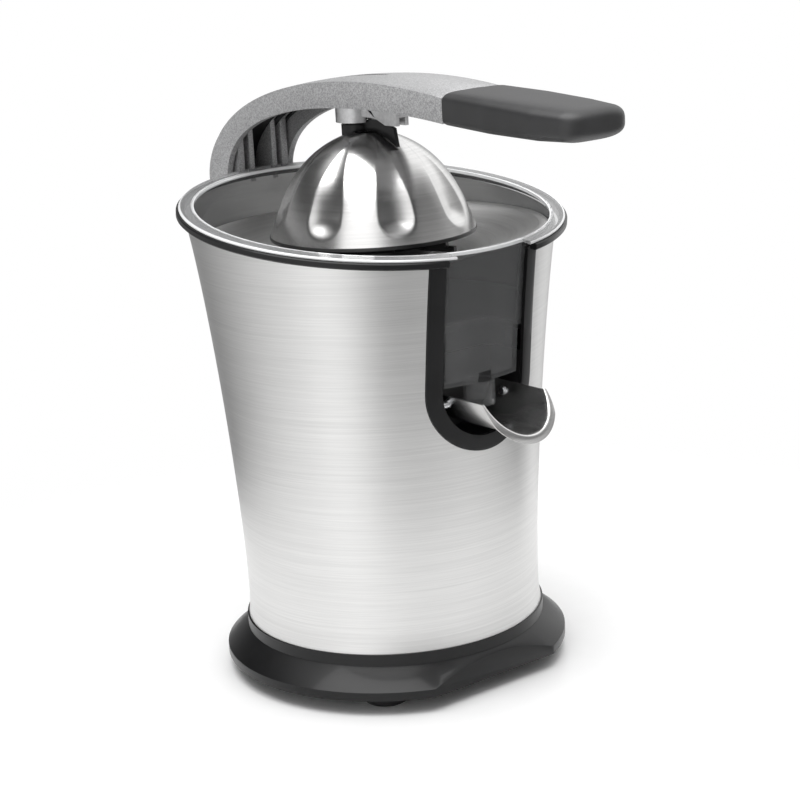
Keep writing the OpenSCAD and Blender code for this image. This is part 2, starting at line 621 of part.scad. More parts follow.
module inlay_prism(grow) at(0, inlay_y, hinge_z + 60) linear_extrude(30) {
    translate([0, 11]) circle(r = 4.5 + grow);
    polygon([[-4.3 - grow, 12], [-0.8, -17 - grow], [0.8, -17 - grow], [4.3 + grow, 12]]);
}
// the band between two depths below the front half of the crest
module below_crest(a, b) side_view(10) let (front = [for (i = [10:20]) bez(arm_crest, i / 20)])
    polygon(concat([for (p = front) [p[0], p[1] - a]], reversed([for (p = front) [p[0], p[1] - b]])));
module arm_inlay() color("#2a2b2c") intersection() {
    inlay_prism(0);
    below_crest(inlay_in, inlay_in + inlay_t);
}

// ---- grip
grip_end = arm_front - grip_len;
grip_screws_y = [arm_front - 20, arm_front - 42];
module grip_ball(x, y, z, r) at(x, y, z) sphere(r = r, $fn = 28);
module grip() color("#3c3d3f") difference() {
    intersection() {
        hull() for (s = [-1, 1]) {
            grip_ball(s * 14, arm_front - 1, hinge_z + 64.1, 8.2);
            grip_ball(s * 11, grip_end + 9, hinge_z + 61, 7.6);
            grip_ball(s * 14.5, grip_end + 32, hinge_z + 61.9, 8.4);
        }
        at(-60, grip_end, hinge_z) cube([120, arm_front - gap - grip_end, 100]);
    }
    at(-tang_half - gap, arm_front - tang_len - gap, tang_z - gap)
        cube([2 * (tang_half + gap), tang_len + 2, tang_h + 2 * gap]);
    for (y = grip_screws_y) at(0, y, tang_z - 12) cylinder(r = head_r + 0.2, h = 9);
    for (y = grip_screws_y) at(0, y, tang_z - 12) cylinder(r = screw_r + 0.2, h = 18);
}
module grip_screws() color("silver") for (y = grip_screws_y) at(0, y, tang_z + tang_h - 0.5)
    mirror([0, 0, 1]) screw(tang_h + 2.5);

// ---- boss that carries the dome
boss_y = 9;
drum_r = 10.7;
drum_z = hinge_z + 50.8;
dome_pin_z = hinge_z + 57;
dome_pin_r = 2;
stem_r = 5.5;
lug_half = 4;
boss_top = drum_z + 16;
pad_z = drum_z + 11;
boss_screw_top = boss_top + 3.5;
module boss_screw_places() for (s = [-1, 1]) at(s * (leg_in - 4), boss_y, 0) children();
module arm_boss() color("#b6b7b8") difference() {
    union() {
        at(0, boss_y, drum_z) cylinder(r = drum_r, h = boss_top - drum_z);
        side_view(lug_half) polygon([[boss_y, drum_z + 3], [boss_y - 21, drum_z + 3],
            [boss_y - 29, drum_z - 0.2], [boss_y - 38.3, drum_z - 0.2], [boss_y - 38.3, boss_top],
            [boss_y, boss_top]]);
        boss_screw_places() at(0, 0, pad_z) cylinder(r = 3.9, h = boss_top - pad_z);
    }
    at(0, boss_y, drum_z - 1) cylinder(r = stem_r + 1.9, h = 13.5);
    at(-1.8, boss_y - 50, drum_z - 1) cube([3.6, 50, 5]);
    at(0, boss_y, dome_pin_z) bar_x(dome_pin_r, 60);
    boss_screw_places() at(0, 0, pad_z - 1) cylinder(r = screw_r + 0.2, h = 20);
}
module boss_screws() color("silver") boss_screw_places() at(0, 0, boss_screw_top) mirror([0, 0, 1])
    screw(boss_screw_top - pad_z);
module dome_pin() color("#a8a9aa") at(0, boss_y, dome_pin_z) bar_x(dome_pin_r, 2 * drum_r - 1.2);

// ---- press dome
dome_z = tray_z;
dome_line = [[dome_r, dome_z], [dome_r - 6.5, dome_z + dome_h * 0.37],
    [dome_r - 15.5, dome_z + dome_h * 0.84], [8, dome_z + dome_h]];
function dome_in(t) = [for (p = dome_line) [p[0] - (p[0] > 9 ? t : 0), p[1] - (p[1] > dome_z ? t : 0)]];
module press_dome() color("#d4d5d6") rotate_extrude()
    polygon(concat(curve(dome_line), reversed(curve(dome_in(dome_t)))));
liner_lip = 2;
module dome_liner() color("#17181a") difference() {
    rotate_extrude() polygon(concat([[dome_r + 0.4, dome_z - liner_lip], [dome_r + 0.4, dome_z - 0.05]],
        curve(dome_in(dome_t + 0.1)), reversed(curve(dome_in(dome_t + 1.5))),
        [[dome_r - dome_t - 1.5, dome_z - liner_lip]]));
}
neck_r = 8;
neck_top = drum_z - 1.2;
module dome_neck() color("#1a1b1c") difference() {
    union() {
        at(0, boss_y, dome_z + dome_h - 3) cylinder(r = neck_r, h = neck_top - dome_z - dome_h + 3);
        at(0, boss_y, neck_top - 1) cylinder(r = stem_r, h = 12);
        side_view(1) polygon([[boss_y, neck_top], [boss_y - 12, neck_top + 2.8], [boss_y - 20, neck_top + 2.8],
            [boss_y - 32, neck_top - 0.6], [boss_y - 34, dome_z + 44.6],
            [boss_y - 26, dome_z + 48.6], [boss_y - 17, dome_z + dome_h + 0.2],
            [boss_y, dome_z + dome_h + 0.2]]);
    }
    rotate_extrude() polygon(concat([[0, dome_z]], curve(dome_line), [[0, dome_z + dome_h]]));
    at(0, boss_y, dome_pin_z) bar_x(dome_pin_r + fit, 30);
}

// ---- spout
spout_back = spout_y - 10;
wall_top = slot_z - 3.2;
kink_z = wall_top - 3;
flare = 4;
lip_t = 1.4;
lip_tilt = 38;
mouth_y = sleeve_r(slot_z) + spout_reach - 3;
mouth_z = slot_z - spout_r;
// y of the tilted mouth plane at a height
function mouth(z) = -mouth_y + (z - mouth_z) * tan(lip_tilt);
module half_pipe(ro, ri) at(0, -spout_back, slot_z) rotate([90, 0, 0])
    linear_extrude(mouth_y - spout_back + 20) difference() {
        circle(r = ro);
        circle(r = ri);
        translate([-50, 0]) square([100, 50]);
    }
module spout_trough() color("#c3c4c5") difference() {
    union() {
        intersection() {
            half_pipe(spout_r, spout_r - spout_t);
            side_view(60) polygon([[-spout_back, mouth_z - 3], [-spout_back, wall_top],
                [-spout_y - 12, wall_top], [mouth(kink_z), kink_z], [mouth(mouth_z - 3), mouth_z - 3]]);
        }
        // flared lip round the mouth
        intersection() {
            half_pipe(spout_r + flare, spout_r - spout_t);
            side_view(60) polygon([[mouth(kink_z), kink_z], [mouth(mouth_z - 9), mouth_z - 9],
                [mouth(mouth_z - 9) + lip_t, mouth_z - 9], [mouth(kink_z) + lip_t, kink_z]]);
        }
    }
    at(0, -spout_y, spout_z) bar_x(spout_pin_r, 80);
}
pin_in = sqrt(pow(spout_r, 2) - pow(slot_z - spout_z, 2)) - spout_t - 1.5;
pin_out = pocket_half + 0.6;
module spout_pins() color("#9a9b9c") for (s = [-1, 1])
    at(s * (pin_in + pin_out) / 2, -spout_y, spout_z) bar_x(spout_pin_r, pin_out - pin_in);

feet();
base_skirt();
base_plate();
base_screws();
body_sleeve();
inner_housing();
deck_cover();
trim_ring();
slot_bezel();
spout_recess();
juice_collector();
filter_tray();
gearbox_base();
gearbox_cover();
gearbox_screws();
cover_bush();
shaft_bush();
shaft_seal();
motor_stator();
motor_windings();
motor_bracket();
motor_bearings();
motor_screws();
brushes();
switch_body();
terminal_block();
inlet_gland();
idler_pin();
hinge_tower();
hinge_pin();
pin_caps();
rotor_core();
rotor_shaft();
commutator();
cooling_fan();
motor_pinion();
idler_gear();
output_gear();
drive_shaft();
shaft_collar();
return_spring();
reamer_carrier();
reamer_cone();
switch_button();
arm_casting();
arm_boss();
boss_screws();
arm_inlay();
grip();
grip_screws();
dome_pin();
press_dome();
dome_liner();
dome_neck();
spout_trough();
spout_pins();
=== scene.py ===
"""Citrus press juicer: the visible pieces, their finishes and a plain studio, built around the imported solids."""

import json
import math
from types import SimpleNamespace

import bpy
import numpy as np
from bpy.props import FloatProperty, FloatVectorProperty, IntProperty, PointerProperty
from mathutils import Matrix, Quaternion, Vector


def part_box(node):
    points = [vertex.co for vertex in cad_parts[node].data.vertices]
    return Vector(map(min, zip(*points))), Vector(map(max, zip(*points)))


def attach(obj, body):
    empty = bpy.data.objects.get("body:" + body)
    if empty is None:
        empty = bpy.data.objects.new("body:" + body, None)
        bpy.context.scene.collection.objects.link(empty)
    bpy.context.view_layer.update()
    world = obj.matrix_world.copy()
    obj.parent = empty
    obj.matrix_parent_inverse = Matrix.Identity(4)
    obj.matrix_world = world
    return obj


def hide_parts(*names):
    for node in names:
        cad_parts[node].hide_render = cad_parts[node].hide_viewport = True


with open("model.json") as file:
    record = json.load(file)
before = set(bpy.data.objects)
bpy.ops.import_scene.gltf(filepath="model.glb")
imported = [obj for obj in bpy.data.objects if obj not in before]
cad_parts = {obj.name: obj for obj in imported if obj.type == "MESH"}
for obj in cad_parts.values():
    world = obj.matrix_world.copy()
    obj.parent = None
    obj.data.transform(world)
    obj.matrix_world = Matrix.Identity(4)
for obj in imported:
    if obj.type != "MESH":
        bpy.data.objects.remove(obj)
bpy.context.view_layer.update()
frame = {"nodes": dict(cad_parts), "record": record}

bl_info = {
    "name": "Citrus press juicer",
    "version": (1, 0, 0),
    "blender": (4, 5, 0),
    "location": "View3D > Sidebar > Juicer",
    "description": "Builds the visible pieces of a citrus press juicer and a studio round them",
    "category": "Object",
}

MM = 0.001
MERGE = 0.002 * MM          # points closer than this are one point
SMOOTH_ANGLE = math.radians(32)


# ---------------------------------------------------------------- sizes

def length(name, description, default_mm):
    """A length property, given in millimetres."""
    return FloatProperty(name=name, description=description, default=default_mm * MM, min=0.0,
                         unit="LENGTH", precision=4)


def angle(name, description, degrees):
    """An angle property, given in degrees."""
    return FloatProperty(name=name, description=description, default=math.radians(degrees), subtype="ANGLE")


def colour(name, description, grey):
    """A colour property; a single number is a neutral grey."""
    value = grey if isinstance(grey, tuple) else (grey, grey, grey)
    return FloatVectorProperty(name=name, description=description, default=value, size=3, min=0.0, max=1.0,
                               subtype="COLOR")


def reach(node, side, axis):
    """Where a solid begins (side 0) or ends (side 1) along an axis, in millimetres."""
    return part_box(node)[side]["xyz".index(axis)] / MM


class BodySizes(bpy.types.PropertyGroup):
    """Sleeve, rim and base."""
    rim_r: length("Rim radius", "Outer radius of the clear rim", 100)
    rim_z: length("Rim height", "Height of the rim's centre above the table", 245.5)
    rim_tilt: angle("Rim tilt", "How far the rim leans, lower at the front", 7.3)
    foot_r: length("Sleeve foot radius", "Radius of the sleeve where it stands in the base", 79.5)
    foot_z: length("Sleeve foot height", "Height where the sleeve starts", reach("body_sleeve", 0, "z"))
    waist: length("Waist", "How far the sleeve is drawn in at its waist", 5.1)
    sheet: length("Sheet", "Thickness of the sleeve's steel", 1)
    base_r: length("Base radius", "Radius of the widest band of the base", reach("base_skirt", 1, "x"))
    band_h: length("Band height", "Height of the base's upright band", 4.5)
    skirt_h: length("Skirt height", "Height of the sloping skirt", 9.8)
    front_flat: length("Front flat", "Distance from the axis to the base's flat front", 82.8)


class SlotSizes(bpy.types.PropertyGroup):
    """Slot in the front, its frame and the spout."""
    half: length("Frame half width", "Half width of the slot's frame, outside", 34)
    frame_w: length("Frame width", "Width of the slot's black frame", 8)
    drop: length("Slot drop", "Depth of the centre of the round end below the rim", 81.5)
    spout_r: length("Spout radius", "Outer radius of the spout's trough", 20.5)
    spout_t: length("Spout sheet", "Thickness of the spout's sheet", 1)
    reach: length("Spout reach", "How far the spout reaches out of the sleeve", 36)
    flare: length("Lip flare", "How far the spout's lip is rolled outwards", 4)
    lip_tilt: angle("Lip tilt", "How far the spout's mouth leans back", 38)


class PressSizes(bpy.types.PropertyGroup):
    """Dome, arm and grip."""
    dome_r: length("Dome radius", "Radius of the dome's mouth", 53.5)
    dome_h: length("Dome height", "Height of the dome", 51)
    dome_t: length("Dome sheet", "Thickness of the dome's steel", 1.2)
    flutes: IntProperty(name="Flutes", default=8, min=3, max=16,
                        description="Number of flutes pressed into the dome")
    flute_w: length("Flute half width", "Half width of a flute at its widest", 9.6)
    flute_slope: FloatProperty(name="Flute depth", default=0.3, min=0,
                               description="Depth of a flute as a share of its half width")
    arm_half: length("Arm half width", "Half width of the arm", 22)
    arm_wall: length("Arm wall", "Wall of the arm's casting", 3.5)
    arm_crown: length("Arm crown", "How much the arm's top is arched across", 2.6)
    hinge_y: length("Hinge distance", "Distance from the axis back to the hinge", 109)
    hinge_z: length("Hinge height", "Height of the hinge pin", 238)
    grip_start: length("Grip seam", "Distance forward to the seam between arm and grip", 88.3)
    grip_end: length("Grip end", "Distance forward to the grip's tip", -reach("grip", 0, "y"))


class Finishes(bpy.types.PropertyGroup):
    """Colours of the finishes."""
    steel: colour("Brushed steel", "Sleeve and tray", (0.66, 0.658, 0.652))
    polish: colour("Polished steel", "Dome and spout", (0.74, 0.735, 0.73))
    paint: colour("Silver paint", "Arm", (0.37, 0.37, 0.375))
    die_cast: colour("Die casting", "Boss under the arm", (0.55, 0.55, 0.555))
    black: colour("Black plastic", "Base, frame and trim", (0.008, 0.008, 0.0085))
    grip: colour("Soft grip", "Grip", (0.021, 0.021, 0.022))
    clear: colour("Clear plastic", "Juice collector and rim", (0.2, 0.202, 0.205))


class StageSettings(bpy.types.PropertyGroup):
    """Studio and camera."""
    lens: FloatProperty(name="Lens", description="Focal length of the camera", default=90, min=1, unit="CAMERA")
    camera_at: FloatVectorProperty(name="Camera", description="Place of the camera", subtype="TRANSLATION",
                                   unit="LENGTH", default=(-0.6195, -0.8212, 0.4117))
    look: FloatVectorProperty(name="View direction", description="Direction that the camera looks in",
                              subtype="DIRECTION", default=(0.589, 0.767, -0.255))
    roll: angle("Roll", "How far the camera is rolled", -3.23)
    floor_r: FloatProperty(name="Floor radius", description="Radius of the pale floor", default=0.42, min=0.1,
                           unit="LENGTH")
    light: FloatProperty(name="Overhead light", description="Power of the soft light overhead", default=20, min=0,
                         unit="POWER")


GROUPS = {"juicer_body": BodySizes, "juicer_slot": SlotSizes, "juicer_press": PressSizes,
          "juicer_finish": Finishes, "juicer_stage": StageSettings}


def sizes(group):
    """The settings of a group, with its lengths in millimetres and its colours as tuples."""
    values = getattr(bpy.context.scene, group)
    out = SimpleNamespace()
    for name in GROUPS[group].__annotations__:
        value = getattr(values, name)
        prop = values.bl_rna.properties[name]
        if prop.type == "FLOAT" and prop.is_array:
            value = tuple(value)
        elif prop.type == "FLOAT" and prop.unit == "LENGTH":
            value /= MM
        setattr(out, name, value)
    return out


# ---------------------------------------------------------------- modelling helpers

def deselect():
    """Leaves edit mode and selects nothing."""
    if bpy.context.object is not None and bpy.context.object.mode != "OBJECT":
        bpy.ops.object.mode_set(mode="OBJECT")
    bpy.ops.object.select_all(action="DESELECT")


def take(obj):
    """Makes a piece the only one selected, and the active one."""
    deselect()
    obj.select_set(True)
    bpy.context.view_layer.objects.active = obj
    return obj


def edit(obj, *steps):
    """Runs edit-mode steps on everything in a piece."""
    take(obj)
    bpy.ops.object.mode_set(mode="EDIT")
    for step in steps:
        bpy.ops.mesh.select_all(action="SELECT")
        step()
    bpy.ops.object.mode_set(mode="OBJECT")
    return obj


def tidy_normals():
    """Merges double points and turns the faces outwards."""
    bpy.ops.mesh.remove_doubles(threshold=MERGE)
    bpy.ops.mesh.normals_make_consistent(inside=False)


def settle(obj):
    """Applies a piece's place, turn and scale to its mesh."""
    take(obj)
    bpy.ops.object.transform_apply(location=True, rotation=True, scale=True)
    return obj


def draw(name, points, fill=True):
    """A line drawn point by point, filled in when it is an outline. Points are in millimetres."""
    deselect()
    bpy.ops.mesh.primitive_plane_add(size=MM)
    obj = bpy.context.object
    obj.name = obj.data.name = name
    bpy.ops.object.mode_set(mode="EDIT")
    bpy.ops.mesh.select_all(action="SELECT")
    bpy.ops.mesh.merge(type="CENTER")
    at = Vector((0, 0, 0))
    for i, point in enumerate(points):
        step = Vector(point) * MM - at
        if i:
            bpy.ops.mesh.extrude_region_move(TRANSFORM_OT_translate={"value": step})
        else:
            bpy.ops.transform.translate(value=step)
        at += step
    if fill:
        bpy.ops.mesh.select_all(action="SELECT")
        bpy.ops.mesh.edge_face_add()
    bpy.ops.object.mode_set(mode="OBJECT")
    return obj


def lathe(name, profile, steps=96, ring=True):
    """A profile of (radius, height) points turned round the upright axis; a ring's profile is closed."""
    points = [(r, 0, z) for r, z in profile]
    obj = draw(name, points + points[:1] if ring else points, fill=False)
    return edit(obj,
                lambda: bpy.ops.mesh.spin(steps=steps, angle=math.tau, center=(0, 0, 0), axis=(0, 0, 1)),
                tidy_normals)


def turned(name, line, steps=192):
    """The full body inside a line of (radius, height) points turned round the upright axis."""
    return lathe(name, [(0, line[0][1])] + line + [(0, line[-1][1])], steps, ring=False)


def prism(name, points, push, slices=1):
    """An outline pushed through space, in one or more slices."""
    obj = draw(name, points)
    take(obj)
    bpy.ops.object.mode_set(mode="EDIT")
    bpy.ops.mesh.select_all(action="SELECT")
    for _ in range(slices):
        bpy.ops.mesh.extrude_region_move(TRANSFORM_OT_translate={"value": Vector(push) * MM / slices})
    bpy.ops.object.mode_set(mode="OBJECT")
    return edit(obj, tidy_normals)


def slab(name, x, outline, width, slices=1):
    """A side-view outline of (y, z) points, pushed across from x."""
    return prism(name, [(x, y, z) for y, z in outline], (width, 0, 0), slices)


def box(lo, hi):
    """A block between two corners, in millimetres."""
    deselect()
    lo, hi = Vector(lo) * MM, Vector(hi) * MM
    bpy.ops.mesh.primitive_cube_add(size=1, location=(lo + hi) / 2, scale=hi - lo)
    return settle(bpy.context.object)


def rod(at, r, h, axis="z", sides=64, r_end=None):
    """A round bar that starts at a point and runs along an axis, in millimetres."""
    deselect()
    turn = {"z": (0, 0, 0), "x": (0, math.pi / 2, 0), "y": (-math.pi / 2, 0, 0)}[axis]
    along = Vector({"z": (0, 0, 1), "x": (1, 0, 0), "y": (0, 1, 0)}[axis])
    bpy.ops.mesh.primitive_cone_add(vertices=sides, radius1=r * MM, radius2=(r if r_end is None else r_end) * MM,
                                    depth=h * MM, location=(Vector(at) + along * h / 2) * MM, rotation=turn)
    return settle(bpy.context.object)


def tube(name, rings, sides, place):
    """A closed tube: place(share along, angle) gives each point, in millimetres."""
    deselect()
    bpy.ops.mesh.primitive_circle_add(vertices=sides, radius=1, fill_type="NGON")
    obj = bpy.context.object
    obj.name = obj.data.name = name
    take(obj)
    bpy.ops.object.mode_set(mode="EDIT")
    bpy.ops.mesh.select_all(action="SELECT")
    for _ in range(rings - 1):
        bpy.ops.mesh.extrude_region_move(TRANSFORM_OT_translate={"value": (0, 0, 1)})
    bpy.ops.object.mode_set(mode="OBJECT")
    for v in obj.data.vertices:
        v.co = Vector(place(round(v.co.z) / (rings - 1), math.atan2(v.co.y, v.co.x))) * MM
    return edit(obj, tidy_normals)


def shape(obj, move):
    """Moves every point of a piece by a rule on its place, in millimetres."""
    for v in obj.data.vertices:
        v.co = Vector(move(*(v.co / MM))) * MM
    obj.data.update()
    return obj


def carve(obj, *tools, operation="DIFFERENCE"):
    """Cuts, joins or keeps the common part of a piece and its tools, which are used up."""
    for tool in tools:
        take(obj)
        bpy.ops.object.modifier_add(type="BOOLEAN")
        modifier = obj.modifiers[-1]
        modifier.object, modifier.operation, modifier.solver = tool, operation, "EXACT"
        bpy.ops.object.modifier_apply(modifier=modifier.name)
        bpy.data.objects.remove(tool, do_unlink=True)
    return obj


def merge(obj, *others):
    """Joins pieces that don't meet into one."""
    take(obj)
    for other in others:
        other.select_set(True)
    bpy.ops.object.join()
    return obj


def modify(obj, kind, **settings):
    """Adds a modifier with its settings and applies it."""
    take(obj)
    bpy.ops.object.modifier_add(type=kind)
    modifier = obj.modifiers[-1]
    for key, value in settings.items():
        setattr(modifier, key, value)
    bpy.ops.object.modifier_apply(modifier=modifier.name)
    return obj


def soften(obj, width, segments=3, angle_deg=34):
    """Rounds the edges that are sharper than an angle."""
    edit(obj, lambda: bpy.ops.mesh.remove_doubles(threshold=MERGE),
         lambda: bpy.ops.mesh.dissolve_limited(angle_limit=math.radians(0.05)))
    return modify(obj, "BEVEL", width=width * MM, segments=segments, limit_method="ANGLE",
                  angle_limit=math.radians(angle_deg), use_clamp_overlap=True, miter_outer="MITER_ARC")


def clone(obj, move=(0, 0, 0), turn=0.0):
    """A copy with its own mesh, turned round the upright axis and then moved."""
    take(obj)
    bpy.ops.object.duplicate(linked=False)
    copy = bpy.context.object
    copy.rotation_euler = (0, 0, turn)
    copy.location = Vector(move) * MM
    return settle(copy)


def piece(obj, name, body, slot, *nodes, smooth=SMOOTH_ANGLE):
    """Names a finished piece, shades it, ties it to its body and its finish, and hides the solids it stands for."""
    obj.name = obj.data.name = name
    take(obj)
    bpy.ops.object.shade_smooth_by_angle(angle=smooth)
    obj.data.materials.clear()
    obj.data.materials.append(bpy.data.materials[slot])
    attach(obj, body)
    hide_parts(*nodes)
    return obj


def bezier(p, t):
    """A point on the cubic curve with four given points."""
    s = 1 - t
    return [s ** 3 * a + 3 * s * s * t * b + 3 * s * t * t * c + t ** 3 * d for a, b, c, d in zip(*p)]


def curve(p, n=24):
    """Points along the cubic curve with four given points."""
    return [tuple(bezier(p, i / n)) for i in range(n + 1)]


# ---------------------------------------------------------------- shader helpers

class Wire:
    """A socket of a material's nodes. Sums written on it become Math nodes."""

    def __init__(self, tree, socket=None):
        self.tree, self.socket = tree, socket

    def node(self, kind, settings=None, inputs=None, output=0):
        """Adds a node, sets it up, feeds its sockets and gives back one of its outputs."""
        made = self.tree.nodes.new(kind)
        for key, value in (settings or {}).items():
            if key == "stops":
                ramp = made.color_ramp
                while len(ramp.elements) < len(value):
                    ramp.elements.new(0.5)
                for element, (at, grey) in zip(ramp.elements, value):
                    element.position = at
                    element.color = (*(grey if isinstance(grey, tuple) else (grey,) * 3), 1)
            else:
                setattr(made, key, value)
        for key, value in (inputs or {}).items():
            if isinstance(value, Wire):
                self.tree.links.new(value.socket, made.inputs[key])
            else:
                made.inputs[key].default_value = value
        return Wire(self.tree, made.outputs[output]) if made.outputs else made

    def sum(self, operation, *values):
        return self.node("ShaderNodeMath", {"operation": operation}, dict(enumerate(values)))

    def __add__(self, other): return self.sum("ADD", self, other)
    def __radd__(self, other): return self.sum("ADD", other, self)
    def __sub__(self, other): return self.sum("SUBTRACT", self, other)
    def __rsub__(self, other): return self.sum("SUBTRACT", other, self)
    def __mul__(self, other): return self.sum("MULTIPLY", self, other)
    def __rmul__(self, other): return self.sum("MULTIPLY", other, self)
    def __truediv__(self, other): return self.sum("DIVIDE", self, other)
    def __pow__(self, other): return self.sum("POWER", self, other)

    def step(self, low, high, out_low=0.0, out_high=1.0):
        """A smooth step between two values."""
        return self.node("ShaderNodeMapRange", {"interpolation_type": "SMOOTHSTEP"},
                         {"Value": self, "From Min": low, "From Max": high, "To Min": out_low, "To Max": out_high})

    def blend(self, low, high):
        """A colour between two, with this socket as the share of the second."""
        return self.node("ShaderNodeMix", {"data_type": "RGBA", "clamp_factor": True},
                         {0: self, 6: (*low, 1) if isinstance(low, tuple) else low,
                          7: (*high, 1) if isinstance(high, tuple) else high}, output=2)


def place_of(wire):
    """The point on the piece, in metres."""
    return wire.node("ShaderNodeTexCoord", output=3)


def axes(wire, where):
    """The x, y and z of a point."""
    return [wire.node("ShaderNodeSeparateXYZ", None, {"Vector": where}, output=axis) for axis in range(3)]


def noise(wire, where, scale, detail=3.0, rough=0.5, stretch=(1, 1, 1)):
    """Noise on a point, stretched along the axes."""
    if stretch != (1, 1, 1):
        where = wire.node("ShaderNodeMapping", None, {"Vector": where, "Scale": stretch})
    return wire.node("ShaderNodeTexNoise", None,
                     {"Vector": where, "Scale": scale, "Detail": detail, "Roughness": rough})


def bump(wire, height, strength, distance):
    """A normal from a height, for a bump of that many metres."""
    return wire.node("ShaderNodeBump", None, {"Height": height, "Strength": strength, "Distance": distance})


def shades(rgb, low, high):
    """Two tones of a colour."""
    return tuple(c * low for c in rgb), tuple(min(1.0, c * high) for c in rgb)


def material(name, build, **constants):
    """The material of a finish with one Principled shader: constants go on its sockets, build adds what varies."""
    made = bpy.data.materials.get(name) or bpy.data.materials.new(name)
    made.use_nodes = True
    tree = made.node_tree
    tree.nodes.clear()
    wire = Wire(tree)
    inputs = {key.replace("_", " ").title().replace("Ior", "IOR"): value for key, value in constants.items()}
    inputs.update(build(wire))
    shader = wire.node("ShaderNodeBsdfPrincipled", None, inputs)
    wire.node("ShaderNodeOutputMaterial", None, {"Surface": shader})
    return made


def brushed(rgb, rough, streak, fine):
    """Steel brushed round the upright axis: long flat streaks in its tone, roughness and surface."""
    def build(wire):
        where = place_of(wire)
        lines = noise(wire, where, 1, 4, 0.65, (9, 9, streak))
        hair = noise(wire, where, 1, 2, 0.6, (30, 30, fine))
        cloud = noise(wire, where, 14, 2)
        mix = lines * 0.55 + hair * 0.45
        return {"Base Color": mix.step(0.3, 0.7).blend(*shades(rgb, 0.91, 1.06)),
                "Roughness": rough + (mix - 0.5) * 0.16 + (cloud - 0.5) * 0.05,
                "Normal": bump(wire, mix, 0.36, 0.00012)}
    return build


def polished(rgb, rough):
    """Turned and polished steel: faint rings and a soft uneven gloss."""
    def build(wire):
        where = place_of(wire)
        rings = noise(wire, where, 1, 3, 0.6, (14, 14, 1500))
        cloud = noise(wire, where, 40, 3)
        return {"Base Color": rings.step(0.3, 0.7).blend(*shades(rgb, 0.95, 1.03)),
                "Roughness": rough + (rings - 0.5) * 0.08 + (cloud - 0.5) * 0.06,
                "Normal": bump(wire, rings, 0.12, 0.00006)}
    return build


def speckled(rgb, rough):
    """Metallic paint: dark and light grains on a grey ground, under a thin orange-peel lacquer."""
    def build(wire):
        where = place_of(wire)
        grain = noise(wire, where, 1300, 2, 0.8)
        peel = noise(wire, where, 500, 1)
        cloud = noise(wire, where, 30, 2)
        return {"Base Color": (grain.step(0.34, 0.68) * 0.8 + cloud * 0.2).blend(*shades(rgb, 0.6, 1.4)),
                "Roughness": rough + (grain - 0.5) * 0.3,
                "Normal": bump(wire, peel + grain * 0.6, 0.3, 0.00006)}
    return build


def moulded(rgb, rough, grain_scale, depth, spread=0.2):
    """Moulded plastic or rubber: a fine grain, with slightly uneven tone and gloss."""
    def build(wire):
        where = place_of(wire)
        grain = noise(wire, where, grain_scale, 2, 0.6)
        cloud = noise(wire, where, 35, 4, 0.6)
        return {"Base Color": cloud.step(0.3, 0.7).blend(*shades(rgb, 1 - spread, 1 + spread)),
                "Roughness": rough + (cloud - 0.5) * 0.1 + (grain - 0.5) * 0.1,
                "Normal": bump(wire, grain, 0.35, depth)}
    return build


def clear_wall(rgb):
    """Clear plastic: see-through where it is looked at straight on, greyer at a slant, with a paler moulded rim and
    painted highlights along the rim's two edges.
    """
    def build(wire):
        where = place_of(wire)
        body = sizes("juicer_body")
        streak = noise(wire, where, 1, 3, 0.6, (30, 30, 6))
        slant = wire.node("ShaderNodeLayerWeight", None, {"Blend": 0.3}, output=1)
        x, y, z = axes(wire, where)
        # the rim is all that reaches up to the tilted plane, and painted highlights brighten it along its two edges
        rim = (z - y * math.tan(body.rim_tilt)).step((body.rim_z - 1.9) * MM, (body.rim_z - 1.3) * MM)
        r = (x * x + y * y) ** 0.5
        outer_edge_highlight = r.step((body.rim_r - 1.6) * MM, (body.rim_r - 1) * MM)
        inner_edge_highlight = r.step((body.rim_r - 6.4) * MM, (body.rim_r - 7) * MM)
        # lines are the painted highlights on the rim's two edges: paler in colour and less see-through there
        lines = outer_edge_highlight + inner_edge_highlight
        return {"Base Color": (rim * (0.3 + lines * 0.65) + streak * 0.06).blend(rgb, (0.8, 0.805, 0.81)),
                "Alpha": 0.2 + (slant ** 2.0) * 0.6 * (1 - rim) + rim * (0.25 + lines * 0.5) + (streak - 0.5) * 0.06,
                "Roughness": 0.04 + streak * 0.04}
    return build


def cast(rgb, rough):
    """Bare metal with a cast or machined skin."""
    def build(wire):
        where = place_of(wire)
        skin = noise(wire, where, 420, 4, 0.7)
        cloud = noise(wire, where, 50, 3)
        return {"Base Color": (skin * 0.5 + cloud * 0.5).step(0.3, 0.7).blend(*shades(rgb, 0.78, 1.15)),
                "Roughness": rough + (skin - 0.5) * 0.2,
                "Normal": bump(wire, skin, 0.3, 0.0001)}
    return build


def layered(rgb, rough, pitch):
    """Stacked sheets or wound wire: fine lines at a pitch."""
    def build(wire):
        where = place_of(wire)
        height = wire.node("ShaderNodeSeparateXYZ", None, {"Vector": where}, output=2)
        lines = (height * (math.tau / pitch)).sum("SINE", height * (math.tau / pitch)).step(-1, 1)
        cloud = noise(wire, where, 90, 3)
        return {"Base Color": (lines * 0.6 + cloud * 0.4).blend(*shades(rgb, 0.6, 1.25)),
                "Roughness": rough + (cloud - 0.5) * 0.2,
                "Normal": bump(wire, lines, 0.5, 0.0002)}
    return build


